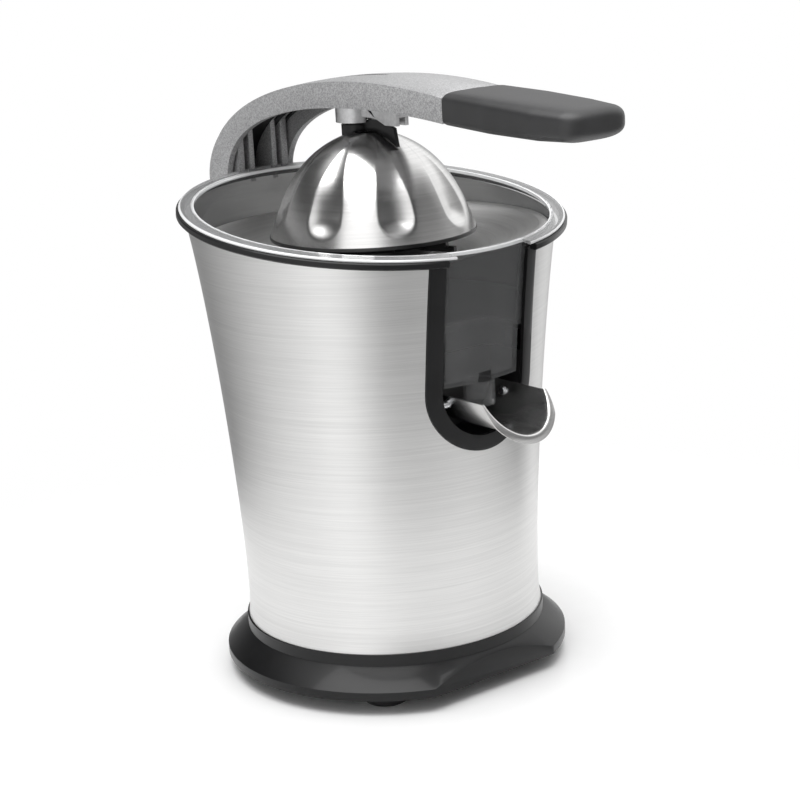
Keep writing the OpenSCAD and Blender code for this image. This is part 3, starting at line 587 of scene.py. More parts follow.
def make_finishes():
    """One material for each finish in the record."""
    f = sizes("juicer_finish")
    material("rubber", moulded((0.02, 0.02, 0.021), 0.7, 900, 0.00012), specular_ior_level=0.3)
    material("black_plastic", moulded(f.black, 0.32, 1400, 0.00003), coat_weight=0.15, coat_roughness=0.1,
             specular_ior_level=0.22)
    material("zinc_steel", cast((0.62, 0.63, 0.65), 0.28), metallic=1.0)
    material("brushed_steel", brushed(f.steel, 0.33, 900, 3800), metallic=1.0)
    material("clear_plastic", clear_wall(f.clear), ior=1.5, specular_ior_level=0.6, coat_weight=0.2,
             coat_roughness=0.03)
    material("gearbox_plastic", moulded((0.3, 0.28, 0.23), 0.5, 700, 0.0001))
    material("bronze", cast((0.5, 0.33, 0.14), 0.4), metallic=1.0)
    material("seal_rubber", moulded((0.28, 0.06, 0.04), 0.55, 500, 0.00008))
    material("motor_iron", layered((0.16, 0.16, 0.17), 0.5, 0.001), metallic=0.8)
    material("copper_wire", layered((0.48, 0.16, 0.05), 0.3, 0.0009), metallic=0.9)
    material("die_cast", cast(f.die_cast, 0.34), metallic=0.85)
    material("carbon", moulded((0.03, 0.03, 0.03), 0.6, 1200, 0.00005))
    material("white_plastic", moulded((0.75, 0.72, 0.66), 0.4, 600, 0.00004, 0.06))
    material("red_plastic", moulded((0.4, 0.05, 0.03), 0.4, 600, 0.00004, 0.1))
    material("silver_paint", speckled(f.paint, 0.42), metallic=0.35, coat_weight=0.25, coat_roughness=0.25)
    material("soft_grip", moulded(f.grip, 0.46, 1900, 0.00005), sheen_weight=0.05)
    material("polished_steel", polished(f.polish, 0.24), metallic=1.0)


# ---------------------------------------------------------------- the juicer's outlines

TOP_OVER = 4.5      # the sleeve's curve ends this far above the rim's centre
SLEEVE_IN = 1.5     # the sleeve's top is this much narrower than the rim
FLANGE_T = 1.5      # thickness of the clear rim
TRIM_T = 3.5        # height of the black trim under it
WELL_OUT = 1.4      # times the rim's radius, a cutting tool has left the body
WELL_IN = 0.4       # times the rim's radius, it is well inside
POCKET_DEPTH = 28   # the spout's pocket and the chute go this far back from the sleeve
LOOSE = 0.1         # what a piece is clear of its neighbour
BOSS_Y = 9          # the boss and the neck stand this far behind the axis
DOME_PIN_UP = 57    # the dome's pin is this far above the hinge
TANG_UP = 61        # and the arm's tang in the grip this far


def sleeve_r(z, s):
    """Radius of the sleeve's outside at a height."""
    u = (z - s.foot_z) / (s.rim_z + TOP_OVER - s.foot_z)
    return s.foot_r + (s.rim_r - SLEEVE_IN - s.foot_r) * u - s.waist * max(0.0, 4 * u * (1 - u)) ** 0.6


def sleeve_band(name, inner, outer, z0, z1, s, rows=40, steps=192):
    """A ring that follows the sleeve between two heights, from one inset to another."""
    heights = [z0 + (z1 - z0) * i / rows for i in range(rows + 1)]
    return lathe(name, [(sleeve_r(z, s) - outer, z) for z in heights]
                 + [(sleeve_r(z, s) - inner, z) for z in reversed(heights)], steps)


def tilt_to_rim(obj, s):
    """Tilts a piece that was made flat round the axis to the rim's plane."""
    obj.rotation_euler = (s.rim_tilt, 0, 0)
    obj.location = (0, 0, s.rim_z * MM)
    return settle(obj)


def above_rim(shift, s):
    """A block that fills all that is above the rim's plane, moved up by a shift."""
    return tilt_to_rim(box((-200, -200, shift), (200, 200, shift + 150)), s)


def slot_tool(half, y_in, y_out, s, w, top=40):
    """The slot's outline, pushed through the front of the body."""
    z = s.rim_z - w.drop
    arc = [(half * math.cos(a), z + half * math.sin(a)) for a in np.linspace(math.pi, math.tau, 41)]
    top_z = z + w.drop + top
    points = [(x, -y_in, h) for x, h in [(-half, top_z)] + arc + [(half, top_z)]]
    return prism("slot", points, (0, y_in - y_out, 0))


def bezier_dome(p, inset=0.0):
    """The dome's profile from its mouth to its top, at an inset."""
    z = p.dome_z
    line = [(p.dome_r, z), (p.dome_r - 6.5, z + p.dome_h * 0.37), (p.dome_r - 15.5, z + p.dome_h * 0.84),
            (8, z + p.dome_h)]
    return [(r - (inset if r > 9 else 0), h - (inset if h > z else 0)) for r, h in line]


def press():
    """The press's sizes, with the dome's foot from the solids."""
    p = sizes("juicer_press")
    p.dome_z = reach("press_dome", 0, "z")
    return p


# ---------------------------------------------------------------- operators

class PieceOperator:
    """What the operators share."""
    bl_options = {"REGISTER", "UNDO"}

    def execute(self, context):
        self.make()
        return {"FINISHED"}


class JUICER_OT_finishes(PieceOperator, bpy.types.Operator):
    """Makes the finishes and puts them on the solids that stay in view"""
    bl_idname = "juicer.finishes"
    bl_label = "Finishes"

    def make(self):
        make_finishes()
        slots = {part["node"]: part["material_slot"] for part in frame["record"]["subparts"]}
        for name, node in frame["nodes"].items():
            node.data.materials.clear()
            node.data.materials.append(bpy.data.materials[slots[name]])


class JUICER_OT_base(PieceOperator, bpy.types.Operator):
    """Turns the black base, cuts its flat front and stands it on its feet"""
    bl_idname = "juicer.base"
    bl_label = "Base and feet"

    def make(self):
        s = sizes("juicer_body")
        z0 = reach("base_skirt", 0, "z")
        collar_z = z0 + s.band_h + s.skirt_h
        collar_r = s.foot_r + 0.9
        wall = 3
        skirt_z = z0 + s.band_h
        base = turned("base", [(s.base_r, z0), (s.base_r, skirt_z), (s.base_r - 1.2, skirt_z + 0.9),
                               (collar_r + 0.6, collar_z - 0.2), (collar_r, collar_z), (collar_r, s.foot_z)], 160)
        inside = turned("inside", [(s.base_r - wall, z0 - 1), (s.base_r - wall, skirt_z - 0.5),
                                   (collar_r - wall, collar_z - 1), (collar_r - wall, s.foot_z + 1)], 160)
        for shell, flat in ((base, s.front_flat), (inside, s.front_flat - wall)):
            carve(shell, box((-150, -150, z0 - 2), (150, -flat, s.foot_z + 2)))
        carve(base, inside)
        gland_r = (reach("inlet_gland", 1, "z") - reach("inlet_gland", 0, "z")) / 2
        gland_z = (reach("inlet_gland", 1, "z") + reach("inlet_gland", 0, "z")) / 2
        carve(base, rod((0, s.foot_r - 8, gland_z), gland_r + LOOSE / 2, 40, "y"))
        soften(base, 0.9, 4)
        piece(base, "base", "housing", "black_plastic", "base_skirt")

        tip_r, top_r, foot_h, ring_r = 11, 14, z0, 70
        foot = lathe("foot", [(0, 0), (tip_r - 1, 0), (tip_r, 0.6), (top_r - 0.3, foot_h - 0.8),
                              (top_r, foot_h - 0.2), (top_r - 0.4, foot_h), (0, foot_h)], 48, ring=False)
        feet = [foot]
        for turn in (43, -43, 137, -137):
            a = math.radians(turn)
            feet.append(clone(foot, (ring_r * math.sin(a), -ring_r * math.cos(a), 0)))
        piece(merge(*feet), "rubber_feet", "housing", "rubber", "feet")


class JUICER_OT_sleeve(PieceOperator, bpy.types.Operator):
    """Turns the steel sleeve and cuts its sloping top and the slot in its front"""
    bl_idname = "juicer.sleeve"
    bl_label = "Steel sleeve"

    def make(self):
        s, w = sizes("juicer_body"), sizes("juicer_slot")
        sleeve = sleeve_band("sleeve", 0, s.sheet, s.foot_z, s.rim_z + 16, s, 44)
        carve(sleeve, above_rim(-FLANGE_T - TRIM_T, s),
              slot_tool(w.half + 0.15, s.foot_r / 2, s.rim_r * WELL_OUT, s, w))
        piece(sleeve, "steel_sleeve", "housing", "brushed_steel", "body_sleeve")


class JUICER_OT_trim(PieceOperator, bpy.types.Operator):
    """Makes the black trim under the rim and the black frame of the slot"""
    bl_idname = "juicer.trim"
    bl_label = "Trim and slot frame"

    def make(self):
        s, w = sizes("juicer_body"), sizes("juicer_slot")
        outer, inner = s.rim_r + 1.2, s.rim_r - 3.2
        low, high = -FLANGE_T - TRIM_T, -FLANGE_T
        trim = lathe("trim", [(outer - 0.7, low), (outer, low + 0.7), (outer, high - 0.5), (outer - 0.5, high),
                              (inner, high), (inner, low)], 192)
        tilt_to_rim(trim, s)
        gap = w.half - w.frame_w
        # the trim's two ends stand back from the frame's opening
        left, right = -gap - 2.2, gap + 1
        carve(trim, box((left, -s.rim_r * WELL_OUT, s.rim_z - 60), (right, -s.rim_r * WELL_IN, s.rim_z + 60)))
        piece(trim, "rim_trim", "housing", "black_plastic", "trim_ring")

        z = s.rim_z - w.drop
        bezel = sleeve_band("bezel", -0.8, s.sheet + 0.3, z - w.half - 2, s.rim_z + 4, s, 30)
        carve(bezel, slot_tool(w.half, s.foot_r / 2, s.rim_r * WELL_OUT, s, w), operation="INTERSECT")
        carve(bezel, slot_tool(gap, s.foot_r / 2 - 5, s.rim_r * 1.5, s, w, 50), above_rim(low, s))
        soften(bezel, 0.45, 3)
        piece(bezel, "slot_frame", "housing", "black_plastic", "slot_bezel")

        wall = 1.8
        y_back = sleeve_r(z, s) - POCKET_DEPTH
        pocket = slot_tool(gap + wall, y_back - wall, s.rim_r * WELL_OUT, s, w)
        heights = np.linspace(z - w.half, reach("deck_cover", 0, "z") - 0.3, 25)
        core = turned("core", [(sleeve_r(h, s) - s.sheet - 0.5, h) for h in heights])
        carve(pocket, core, operation="INTERSECT")
        carve(pocket, slot_tool(gap, y_back, s.rim_r * 1.5, s, w, 50))
        soften(pocket, 0.4, 2)
        piece(pocket, "spout_pocket", "housing", "black_plastic", "spout_recess")


class JUICER_OT_tray(PieceOperator, bpy.types.Operator):
    """Turns the steel filter tray and cuts its ring of slots"""
    bl_idname = "juicer.tray"
    bl_label = "Filter tray"

    def make(self):
        r = reach("filter_tray", 1, "x")
        top = reach("filter_tray", 1, "z")
        low = reach("filter_tray", 0, "z")
        hole, inner_r, dish_r = 20.8, 36, 50
        tray = lathe("tray", [(hole, low), (inner_r, low), (dish_r, low + 2), (r - 5, top - 1.6), (r - 4, top - 1),
                              (r, top - 1), (r, top), (r - 4.3, top), (r - 5.2, top - 0.5), (dish_r, low + 3),
                              (inner_r, low + 1), (hole, low + 1)], 180)
        count = 36
        first = box((-0.8, hole + 4, low - 3), (0.8, hole + 13, low + 7))
        carve(tray, merge(first, *[clone(first, turn=math.tau * i / count) for i in range(1, count)]))
        piece(tray, "filter_dish", "housing", "brushed_steel", "filter_tray")


class JUICER_OT_collector(PieceOperator, bpy.types.Operator):
    """Turns the clear bowl with its rim and adds the chute behind the slot"""
    bl_idname = "juicer.collector"
    bl_label = "Clear collector"

    def make(self):
        s, w = sizes("juicer_body"), sizes("juicer_slot")
        wall, flange_w = 1.8, 8
        z0 = 190
        top = s.rim_z + 16
        ledge_z, ledge_r = 231.7, s.rim_r - 11.4
        chute_half = w.half - 10.5
        slot_z = s.rim_z - w.drop
        chute_y = sleeve_r(slot_z, s) - POCKET_DEPTH + 2.2
        chimney = 13

        def side(a, b, inset, n=20):
            """The bowl's outside between two heights, at an inset."""
            return [(min(sleeve_r(z, s) - s.sheet - 0.5, s.rim_r - flange_w + 1.6) - inset, z)
                    for z in np.linspace(a, b, n + 1)]
        bowl = lathe("bowl", [(chimney, z0)] + side(z0, top, 0) + side(top, ledge_z, wall)
                     + [(ledge_r, ledge_z), (ledge_r, ledge_z - 1.5)] + side(ledge_z - 1.5, z0 + 2, wall)
                     + [(chimney + wall, z0 + 2), (chimney + wall, z0 + 20), (chimney, z0 + 20)], 192)
        carve(bowl, above_rim(0, s),
              box((0.3 - chute_half, -s.rim_r * 1.2, z0 - 1), (chute_half - 0.3, -chute_y, z0 + 150)))
        inner_r = s.rim_r - flange_w
        flange = lathe("flange", [(s.rim_r - 0.4, -FLANGE_T), (s.rim_r, -FLANGE_T + 0.4), (s.rim_r, -0.5),
                                  (s.rim_r - 0.5, 0), (inner_r + 0.7, 0), (inner_r, -0.7), (inner_r, -FLANGE_T)], 192)
        tilt_to_rim(flange, s)
        carve(flange, box((-chute_half, -s.rim_r * WELL_OUT, s.rim_z - 60),
                          (chute_half, -s.rim_r * WELL_IN, s.rim_z + 60)))

        chute_z = slot_z + 1.5

        def core(inset, a, b):
            """The chute's body between two heights, at an inset."""
            block = box((inset - chute_half, -s.rim_r * 1.2, a), (chute_half - inset, -chute_y - inset, b))
            rows = np.linspace(a - 1, b + 1, 24)
            body = turned("body", [(sleeve_r(z, s) - wall - inset, z) for z in rows], 160)
            return carve(block, body, operation="INTERSECT")
        chute = core(0, chute_z, s.rim_z + 4)
        # above the bowl's floor only the front panel is left
        over = turned("over", [(sleeve_r(z, s) - 2 * wall, z) for z in np.linspace(z0 + 2, top + 1, 24)], 160)
        nozzle_at, nozzle_r, nozzle_h = -(sleeve_r(slot_z, s) - 6.5), 6.5, 12
        carve(chute, core(wall, chute_z + wall, s.rim_z + 10), over, above_rim(0, s),
              rod((0, nozzle_at, chute_z - 5), nozzle_r, 10))
        nozzle = rod((0, nozzle_at, chute_z - nozzle_h), nozzle_r + 1.5, nozzle_h)
        carve(nozzle, rod((0, nozzle_at, chute_z - nozzle_h - 1), nozzle_r, 20))
        collector = merge(bowl, flange, chute, nozzle)
        piece(collector, "clear_collector", "housing", "clear_plastic", "juice_collector")


class JUICER_OT_dome(PieceOperator, bpy.types.Operator):
    """Turns the dome, presses its flutes in, and makes the black liner inside it"""
    bl_idname = "juicer.dome"
    bl_label = "Press dome"

    def make(self):
        p = press()
        top_z, wide_z, end_z = p.dome_z + 48.5, p.dome_z + 13, p.dome_z + 3

        def flute(r, a, z):
            """How deep the flutes are at a place."""
            pitch = math.tau / p.flutes
            off = abs((a + math.pi / 2) % pitch - pitch / 2)      # a ridge faces the front
            ease = 1.0
            if z > wide_z:
                half = p.flute_w * max(0.0, 1 - ((z - wide_z) / (top_z - wide_z)) ** 1.8)
            else:
                ease = max(0.0, 1 - ((wide_z - z) / (wide_z - end_z)) ** 2)
                half = p.flute_w * math.sqrt(ease)
            if half <= 0.05:
                return 0.0
            u = off * r / half
            return p.flute_slope * half * ease ** 1.5 * (1 - u * u) ** 1.1 if u < 1 else 0.0

        def pressed(x, y, z):
            r = math.hypot(x, y)
            if r < 9:
                return x, y, z
            rise = (p.dome_z + p.dome_h - z) / p.dome_h
            d = flute(r, math.atan2(y, x), z)
            k = 1 - d * (0.35 + 0.65 * rise) / r
            return x * k, y * k, z - d * 0.45 * (1 - rise)

        rows = curve(bezier_dome(p), 71)
        lip = [(p.dome_r - p.dome_t, p.dome_z), (p.dome_r, p.dome_z)]
        inner = curve(bezier_dome(p, p.dome_t), 40)[::-1]
        shell = lathe("dome", lip[1:] + rows[1:] + inner[:-1] + lip[:1], 384)
        shape(shell, pressed)
        piece(shell, "fluted_dome", "dome", "polished_steel", "press_dome", smooth=math.radians(50))

        lip_z = reach("dome_liner", 0, "z")
        liner_t = 1.5
        back = curve(bezier_dome(p, p.dome_t + LOOSE), 40)
        front = curve(bezier_dome(p, p.dome_t + liner_t), 40)[::-1]
        inner_r = p.dome_r - p.dome_t
        edge = [(p.dome_r + 0.1, lip_z), (p.dome_r + 0.4, lip_z + 0.4), (p.dome_r + 0.4, p.dome_z - 0.3),
                (p.dome_r + 0.1, p.dome_z - 0.05), (inner_r - LOOSE, p.dome_z - 0.05)]
        liner = lathe("liner", edge + back[1:] + front[:-1]
                      + [(inner_r - liner_t, lip_z + 0.3), (inner_r - 1.2, lip_z)], 192)
        shape(liner, pressed)
        piece(liner, "dome_liner_cup", "dome", "black_plastic", "dome_liner")


class JUICER_OT_neck(PieceOperator, bpy.types.Operator):
    """Makes the black neck and fin on the dome and the silver boss that holds them"""
    bl_idname = "juicer.neck"
    bl_label = "Neck and boss"

    def make(self):
        p = press()
        y, pin_z = BOSS_Y, p.hinge_z + DOME_PIN_UP
        drum_z = reach("arm_boss", 0, "z") + 0.2
        neck_top = drum_z - 1.2
        top = p.dome_z + p.dome_h
        neck = rod((0, y, top - 3), 8, neck_top - top + 3)
        carve(neck, rod((0, y, neck_top - 1), 5.5, 12), operation="UNION")
        fin = slab("fin", -1, [(y, neck_top), (y - 12, neck_top + 2.8), (y - 20, neck_top + 2.8),
                               (y - 32, neck_top - 0.6), (y - 34, p.dome_z + 44.6), (y - 26, p.dome_z + 48.6),
                               (y - 17, top + 0.2), (y, top + 0.2)], 2)
        carve(neck, fin, operation="UNION")
        carve(neck, turned("cup", curve(bezier_dome(p), 40), 128),
              rod((-15, y, pin_z), 2.05, 30, "x"))
        soften(neck, 0.35, 3)
        piece(neck, "dome_post", "dome", "black_plastic", "dome_neck")

        boss_top = drum_z + 16
        screw_x, screw_z = p.arm_half - p.arm_wall - 4, drum_z + 11
        boss = rod((0, y, drum_z), 10.7, boss_top - drum_z, sides=96)
        web = slab("web", -4, [(y, drum_z + 3), (y - 21, drum_z + 3), (y - 29, drum_z - 0.2), (y - 38.3, drum_z - 0.2),
                               (y - 38.3, boss_top), (y, boss_top)], 8)
        carve(boss, web, operation="UNION")
        for side in (-1, 1):
            carve(boss, rod((side * screw_x, y, screw_z), 3.9, 5), operation="UNION")
        # the neck's bore, the fin's slot and the pin's bore, which stops just under the skin
        carve(boss, rod((0, y, drum_z - 1), 7.4, 13.5), box((-1.8, y - 50, drum_z - 1), (1.8, y, drum_z + 4)),
              rod((-10.15, y, pin_z), 2.02, 20.3, "x"))
        for side in (-1, 1):
            carve(boss, rod((side * screw_x, y, screw_z - 1), 2.1, 20, sides=32))
        soften(boss, 0.7, 3)
        piece(boss, "boss", "arm", "die_cast", "arm_boss")


class JUICER_OT_arm(PieceOperator, bpy.types.Operator):
    """Makes the hollow arm with its crowned top, its ears and ribs, and the inlay on top"""
    bl_idname = "juicer.arm"
    bl_label = "Arm"

    def make(self):
        p = press()
        h_y, h_z, leg_r, front = p.hinge_y, p.hinge_z, 10, -88
        leg_in, inner_r = p.arm_half - p.arm_wall, leg_r - p.arm_wall
        crest = ((h_y + leg_r, h_z + 17), (h_y + leg_r, h_z + 56), (37, h_z + 86), (front, h_z + 72.5))
        edge = ((h_y - leg_r + 2, h_z + 14), (h_y - leg_r + 2, h_z + 65), (-25, h_z + 64.5), (front, h_z + 57.6))
        inner = ((h_y + inner_r, h_z + 17), (h_y + inner_r, h_z + 53), (36, h_z + 82.2), (front + 3.5, h_z + 69))
        top_line, low_line, in_line = (curve(line, 40) for line in (crest, edge, inner))
        ear = [(h_y + leg_r * math.cos(a), h_z + leg_r * math.sin(a)) for a in np.linspace(math.pi, math.tau, 25)]
        arm = slab("arm", -p.arm_half, top_line + low_line[::-1] + ear, 2 * p.arm_half, 16)
        tops = np.array(top_line)
        downs = np.array(low_line)

        def crowned(x, y, z):
            """Rounds the top over from side to side."""
            gaps = np.hypot(tops[:, 0] - y, tops[:, 1] - z)
            i = int(gaps.argmin())
            if gaps[i] > 0.01:
                return x, y, z
            # towards the lower edge by the crown, more at the sides
            pull = downs[i] - tops[i]
            pull = pull / np.hypot(*pull) * p.arm_crown * (x / p.arm_half) ** 2 * min(1.0, i / 8)
            return x, y + pull[0], z + pull[1]
        shape(arm, crowned)
        hollow = slab("hollow", -leg_in, in_line + [(front + 3.5, h_z), (h_y - 20, h_z), (h_y - 20, h_z - 20),
                                                    (h_y + 20, h_z - 20), (h_y + 20, h_z), (h_y + inner_r, h_z)],
                      2 * leg_in)
        carve(arm, hollow)

        # each rib, given by its middle and half width, stands inside the arm's back and ends halfway through its wall
        ribs = [(side * x, half) for x, half in ((7.5, 1.5), (14.5, 2)) for side in (-1, 1)]
        rib_y, rib_z = 97, h_z + 13
        middle = [((a + c) / 2, (b + d) / 2) for (a, b), (c, d) in zip(top_line, in_line) if (a + c) / 2 > rib_y]
        outline = [(rib_y, rib_z), (middle[0][0], rib_z)] + middle + [(rib_y, middle[-1][1] + 1.5)]
        for x, half in ribs:
            carve(arm, slab("rib", x - half, outline, 2 * half), operation="UNION")
        # painted shade: a black sheet covers the same stretch between the ribs, standing in for the shade inside the
        # arm
        shade_sheet = [point for point in in_line if point[0] > 40]
        shade_sheet = [(shade_sheet[0][0], rib_z)] + shade_sheet
        outside, inside = ([(y + out, z + out) for y, z in shade_sheet] for out in (0.6, -0.8))
        liner = slab("liner", -leg_in - 0.5, outside + inside[::-1], 2 * leg_in + 1)
        for x, half in ribs:
            carve(liner, box((x - half, 30, rib_z - 5), (x + half, 130, h_z + 90)))
        # the black sheet is painted shade and stands for no solid
        piece(liner, "arm_lining", "arm", "black_plastic")

        tang_z = h_z + TANG_UP
        carve(arm, box((-14, front - 52, tang_z), (14, front + 2, tang_z + 6)), operation="UNION")
        boss_top = reach("arm_boss", 1, "z")
        for side in (-1, 1):
            at = (side * (leg_in - 4), BOSS_Y)
            carve(arm, rod((*at, boss_top), 4.2, 5), operation="UNION")
            carve(arm, rod((*at, boss_top - 1), 1.95, 4.8, sides=32))
        carve(arm, rod((-40, h_y, h_z), 3.05, 80, "x"),
              rod((0, front - 20, tang_z - 1), 1.95, 8, sides=32), rod((0, front - 42, tang_z - 1), 1.95, 8, sides=32))

        inlay_y, inlay_r, inlay_in, inlay_t = -2, 4.5, 0.3, 1

        def teardrop(grow):
            """The inlay's outline from above, with its point to the front."""
            r, tip_y = inlay_r + grow, inlay_y - 17 - grow
            round_end = [(r * math.cos(a), inlay_y + 11 + r * math.sin(a))
                         for a in np.linspace(-0.1, math.pi + 0.1, 25)]
            return round_end + [(-0.8, tip_y), (0.8, tip_y)]

        def on_crest(name, grow, over, under):
            """The inlay's outline between two depths below the arm's crest."""
            above = top_line[18:]
            band = slab("band", -10, [(y, z - over) for y, z in above] + [(y, z - under) for y, z in above[::-1]], 20)
            drop = prism(name, [(x, y, h_z + 60) for x, y in teardrop(grow)], (0, 0, 30))
            return carve(drop, band, operation="INTERSECT")
        carve(arm, on_crest("inlay_room", 0.15, -5, inlay_in + inlay_t))
        soften(arm, 0.9, 3, 38)
        piece(arm, "arm_shell", "arm", "silver_paint", "arm_casting")
        inlay = on_crest("inlay", 0, inlay_in, inlay_in + inlay_t)
        soften(inlay, 0.2, 2)
        piece(inlay, "inlay", "arm", "black_plastic", "arm_inlay")


class JUICER_OT_grip(PieceOperator, bpy.types.Operator):
    """Lofts the soft grip from its seam to its bevelled tip"""
    bl_idname = "juicer.grip"
    bl_label = "Grip"

    def make(self):
        p = press()
        start, end = -p.grip_start, -p.grip_end
        stations = [0.0, 0.35, 0.7, 0.9, 1.0]
        half = [22.2, 23.2, 22.4, 19.8, 16.5]
        top = [p.hinge_z + up for up in (72.4, 71.2, 69.4, 68.2, 67)]
        low = [p.hinge_z + up for up in (55.8, 53.6, 52.3, 52.4, 54)]

        def place(u, a):
            # rings crowd towards the tip, where the grip rounds off
            v = math.sin(u * math.pi / 2)
            y = start + (end - start) * v
            w, t, b = (float(np.interp(v, stations, line)) for line in (half, top, low))
            close = max(0.0, (v - 0.9) / 0.1)
            k = max(0.0, 1 - close ** 2.6) ** (1 / 2.6)
            across, up = math.cos(a), math.sin(a)
            power = 2 / (5 - 1.8 * v)
            x = w * math.copysign(abs(across) ** power, across) * (0.35 + 0.65 * k)
            z = (t - b) / 2 * math.copysign(abs(up) ** power, up) * (0.1 + 0.9 * k)
            return x, y, (t + b) / 2 + z
        grip = tube("grip", 60, 96, place)
        tang_z = p.hinge_z + TANG_UP
        carve(grip, box((-14.3, -140.3, tang_z - 0.3), (14.3, -80, tang_z + 6.3)))
        for y in (-108, -130):
            carve(grip, rod((0, y, tang_z - 15), 3.8, 12, sides=32), rod((0, y, tang_z - 15), 2.1, 20, sides=32))
        piece(grip, "grip_cover", "arm", "soft_grip", "grip", smooth=math.radians(50))


class JUICER_OT_spout(PieceOperator, bpy.types.Operator):
    """Rolls the steel spout with its flared lip"""
    bl_idname = "juicer.spout"
    bl_label = "Spout"

    def make(self):
        s, w = sizes("juicer_body"), sizes("juicer_slot")
        z0 = s.rim_z - w.drop
        pivot_y = sleeve_r(z0, s) - 9
        back = pivot_y - 10
        mouth_y = sleeve_r(z0, s) + w.reach - 3
        low = z0 - w.spout_r
        slope = math.tan(w.lip_tilt)
        across, along, roll = 48, 24, 10
        a0 = math.asin(3.2 / w.spout_r)
        deselect()
        bpy.ops.mesh.primitive_grid_add(x_subdivisions=across, y_subdivisions=along + roll, size=2)
        spout = bpy.context.object

        def place(x, y, _):
            u = (x * MM + 1) / 2
            row = (y * MM + 1) / 2 * (along + roll)
            a = math.pi + a0 + (math.pi - 2 * a0) * u
            lip = max(0.0, row - along) / roll
            # the lip is a quarter roll outwards, fading at the two top corners
            edge = min(1.0, 4.5 * min(u, 1 - u) + 0.25)
            turn = lip * math.radians(80)
            r = w.spout_r - w.spout_t / 2
            px, pz = r * math.cos(a), z0 + r * math.sin(a)
            mouth = -mouth_y + (pz - low) * slope
            py = -back + (mouth + back) * min(1.0, row / along)
            out = w.flare * edge * (1 - math.cos(turn))
            fwd = w.flare * 0.8 * edge * math.sin(turn)
            return (px + out * math.cos(a), py - fwd * 0.55, pz + out * math.sin(a) - fwd * 0.1)
        shape(spout, place)
        edit(spout, lambda: bpy.ops.mesh.normals_make_consistent(inside=False))
        modify(spout, "SOLIDIFY", thickness=w.spout_t * MM, offset=0, use_rim=True)
        piece(spout, "spout_lip", "spout", "polished_steel", "spout_trough", smooth=math.radians(45))


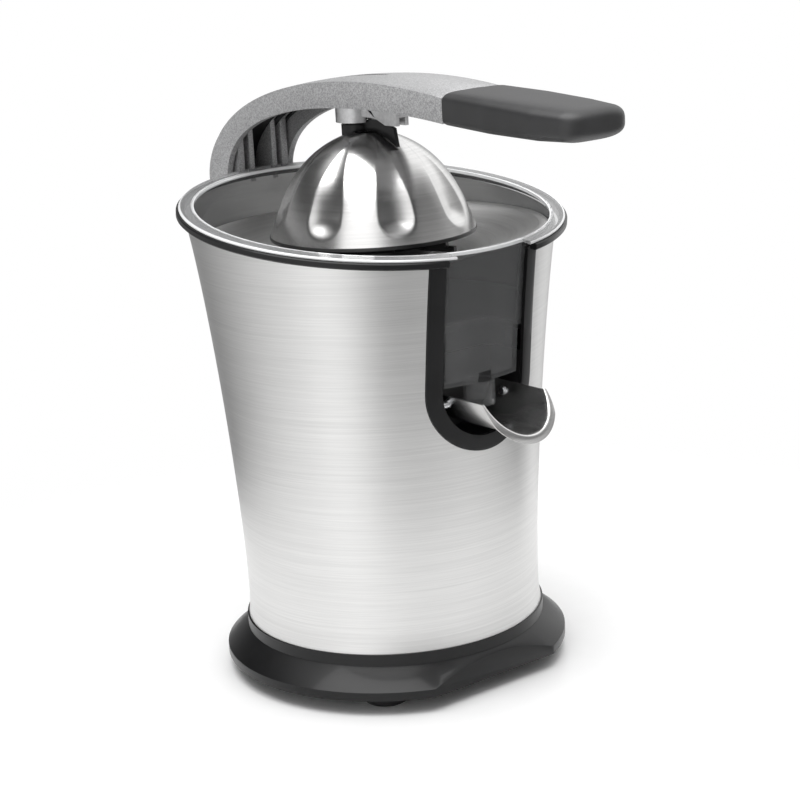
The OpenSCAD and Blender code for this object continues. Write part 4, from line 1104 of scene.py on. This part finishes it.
class JUICER_OT_stage(PieceOperator, bpy.types.Operator):
    """Sets up the pale floor, the soft light and the camera"""
    bl_idname = "juicer.stage"
    bl_label = "Studio"

    def make(self):
        t = bpy.context.scene.juicer_stage
        scene = bpy.context.scene
        deselect()
        bpy.ops.mesh.primitive_circle_add(vertices=96, radius=t.floor_r, fill_type="NGON", location=(0, 0, -0.0003))
        floor = settle(bpy.context.object)
        floor.name = "floor"
        floor.data.materials.append(self.floor_finish(t.floor_r))

        deselect()
        bpy.ops.object.light_add(type="AREA", location=(-0.25, -0.1, 1.5))
        lamp = bpy.context.object
        lamp.data.shape, lamp.data.size, lamp.data.size_y = "RECTANGLE", 1.3, 1.3
        lamp.data.energy = t.light
        lamp.rotation_euler = (0.1, -0.15, 0)

        deselect()
        bpy.ops.object.camera_add(location=t.camera_at)
        camera = bpy.context.object
        camera.rotation_mode = "QUATERNION"
        look = Vector(t.look).to_track_quat("-Z", "Y")
        camera.rotation_quaternion = look @ Quaternion((0, 0, 1), t.roll)
        camera.data.lens, camera.data.sensor_width = t.lens, 36
        camera.data.clip_start, camera.data.clip_end = 0.01, 100
        scene.camera = camera
        scene.view_settings.view_transform = "Standard"
        scene.view_settings.look = "None"
        self.light_room(scene)

    def floor_finish(self, radius):
        """A white floor that fades into the white room at its edge."""
        made = bpy.data.materials.new("floor")
        made.use_nodes = True
        tree = made.node_tree
        tree.nodes.clear()
        wire = Wire(tree)
        where = place_of(wire)
        far = wire.node("ShaderNodeVectorMath", {"operation": "LENGTH"}, {0: where}, output=1)
        grain = noise(wire, where, 60, 2)
        paint = grain.blend((0.9, 0.9, 0.9), (0.93, 0.93, 0.93))
        shader = wire.node("ShaderNodeBsdfPrincipled", None,
                           {"Base Color": paint, "Roughness": 0.35, "Specular IOR Level": 0.25})
        clear = wire.node("ShaderNodeBsdfTransparent")
        mix = wire.node("ShaderNodeMixShader", None, {0: far.step(radius * 0.5, radius * 0.98), 1: shader, 2: clear})
        wire.node("ShaderNodeOutputMaterial", None, {"Surface": mix})
        return made

    def light_room(self, scene):
        """A white room whose brightness, for light and reflections, depends on the direction."""
        world = bpy.data.worlds.new("studio")
        scene.world = world
        world.use_nodes = True
        tree = world.node_tree
        tree.nodes.clear()
        wire = Wire(tree)
        x, y, z = axes(wire, wire.node("ShaderNodeTexCoord", output=0))
        # a turn of 0.5 is back towards the camera, less is to its left and more to its right
        back_x, back_y = -0.602, -0.799
        toward = x * back_x + y * back_y
        right = x * -back_y + y * back_x
        turn = toward.sum("ARCTAN2", right, toward) / math.tau + 0.5

        def ramp(stops):
            """Brightness by the turn round the room."""
            return wire.node("ShaderNodeValToRGB", {"stops": stops}, {"Fac": turn})
        low = ramp([(0.0, 0.3), (0.1, 0.2), (0.2, 0.42), (0.27, 0.62), (0.33, 0.73), (0.4, 0.98), (0.44, 0.9),
                    (0.47, 0.62), (0.51, 0.3), (0.58, 0.33), (0.66, 0.5), (0.75, 0.4), (0.83, 0.1), (0.86, 0.75),
                    (0.92, 0.75), (0.96, 0.3)])
        high = ramp([(0.0, 0.04), (0.37, 0.05), (0.4, 1.0), (0.5, 1.0), (0.545, 0.3), (0.57, 0.16), (0.75, 0.15),
                     (0.8, 0.4), (0.84, 0.9), (0.96, 0.9)])
        bright = z.step(0.12, 0.4).blend(low, high)
        top = z.step(0.62, 0.9).blend(bright, (1.0, 1.0, 1.0))
        seen = wire.node("ShaderNodeLightPath", output=0)
        lit = wire.node("ShaderNodeBackground", None, {"Color": top, "Strength": 1.35})
        white = wire.node("ShaderNodeBackground", None, {"Color": (1, 1, 1, 1), "Strength": 1.0})
        mix = wire.node("ShaderNodeMixShader", None, {0: seen, 1: lit, 2: white})
        wire.node("ShaderNodeOutputWorld", None, {"Surface": mix})


OPERATORS = (JUICER_OT_finishes, JUICER_OT_base, JUICER_OT_sleeve, JUICER_OT_trim, JUICER_OT_tray, JUICER_OT_collector,
             JUICER_OT_dome, JUICER_OT_neck, JUICER_OT_arm, JUICER_OT_grip, JUICER_OT_spout, JUICER_OT_stage)


class JUICER_PT_panel(bpy.types.Panel):
    """Lists the pieces of the juicer."""
    bl_idname = "JUICER_PT_panel"
    bl_label = "Juicer"
    bl_space_type = "VIEW_3D"
    bl_region_type = "UI"
    bl_category = "Juicer"

    def draw(self, context):
        for operator in OPERATORS:
            self.layout.operator(operator.bl_idname)
        for group, kind in GROUPS.items():
            column = self.layout.column(align=True)
            for name in kind.__annotations__:
                column.prop(getattr(context.scene, group), name)


CLASSES = (*GROUPS.values(), *OPERATORS, JUICER_PT_panel)


def register():
    for cls in CLASSES:
        bpy.utils.register_class(cls)
    for name, kind in GROUPS.items():
        setattr(bpy.types.Scene, name, PointerProperty(type=kind))


def unregister():
    for name in GROUPS:
        delattr(bpy.types.Scene, name)
    for cls in reversed(CLASSES):
        bpy.utils.unregister_class(cls)


def main():
    register()
    for operator in OPERATORS:
        getattr(bpy.ops.juicer, operator.bl_idname.split(".")[1])()


if __name__ == "__main__":
    main()
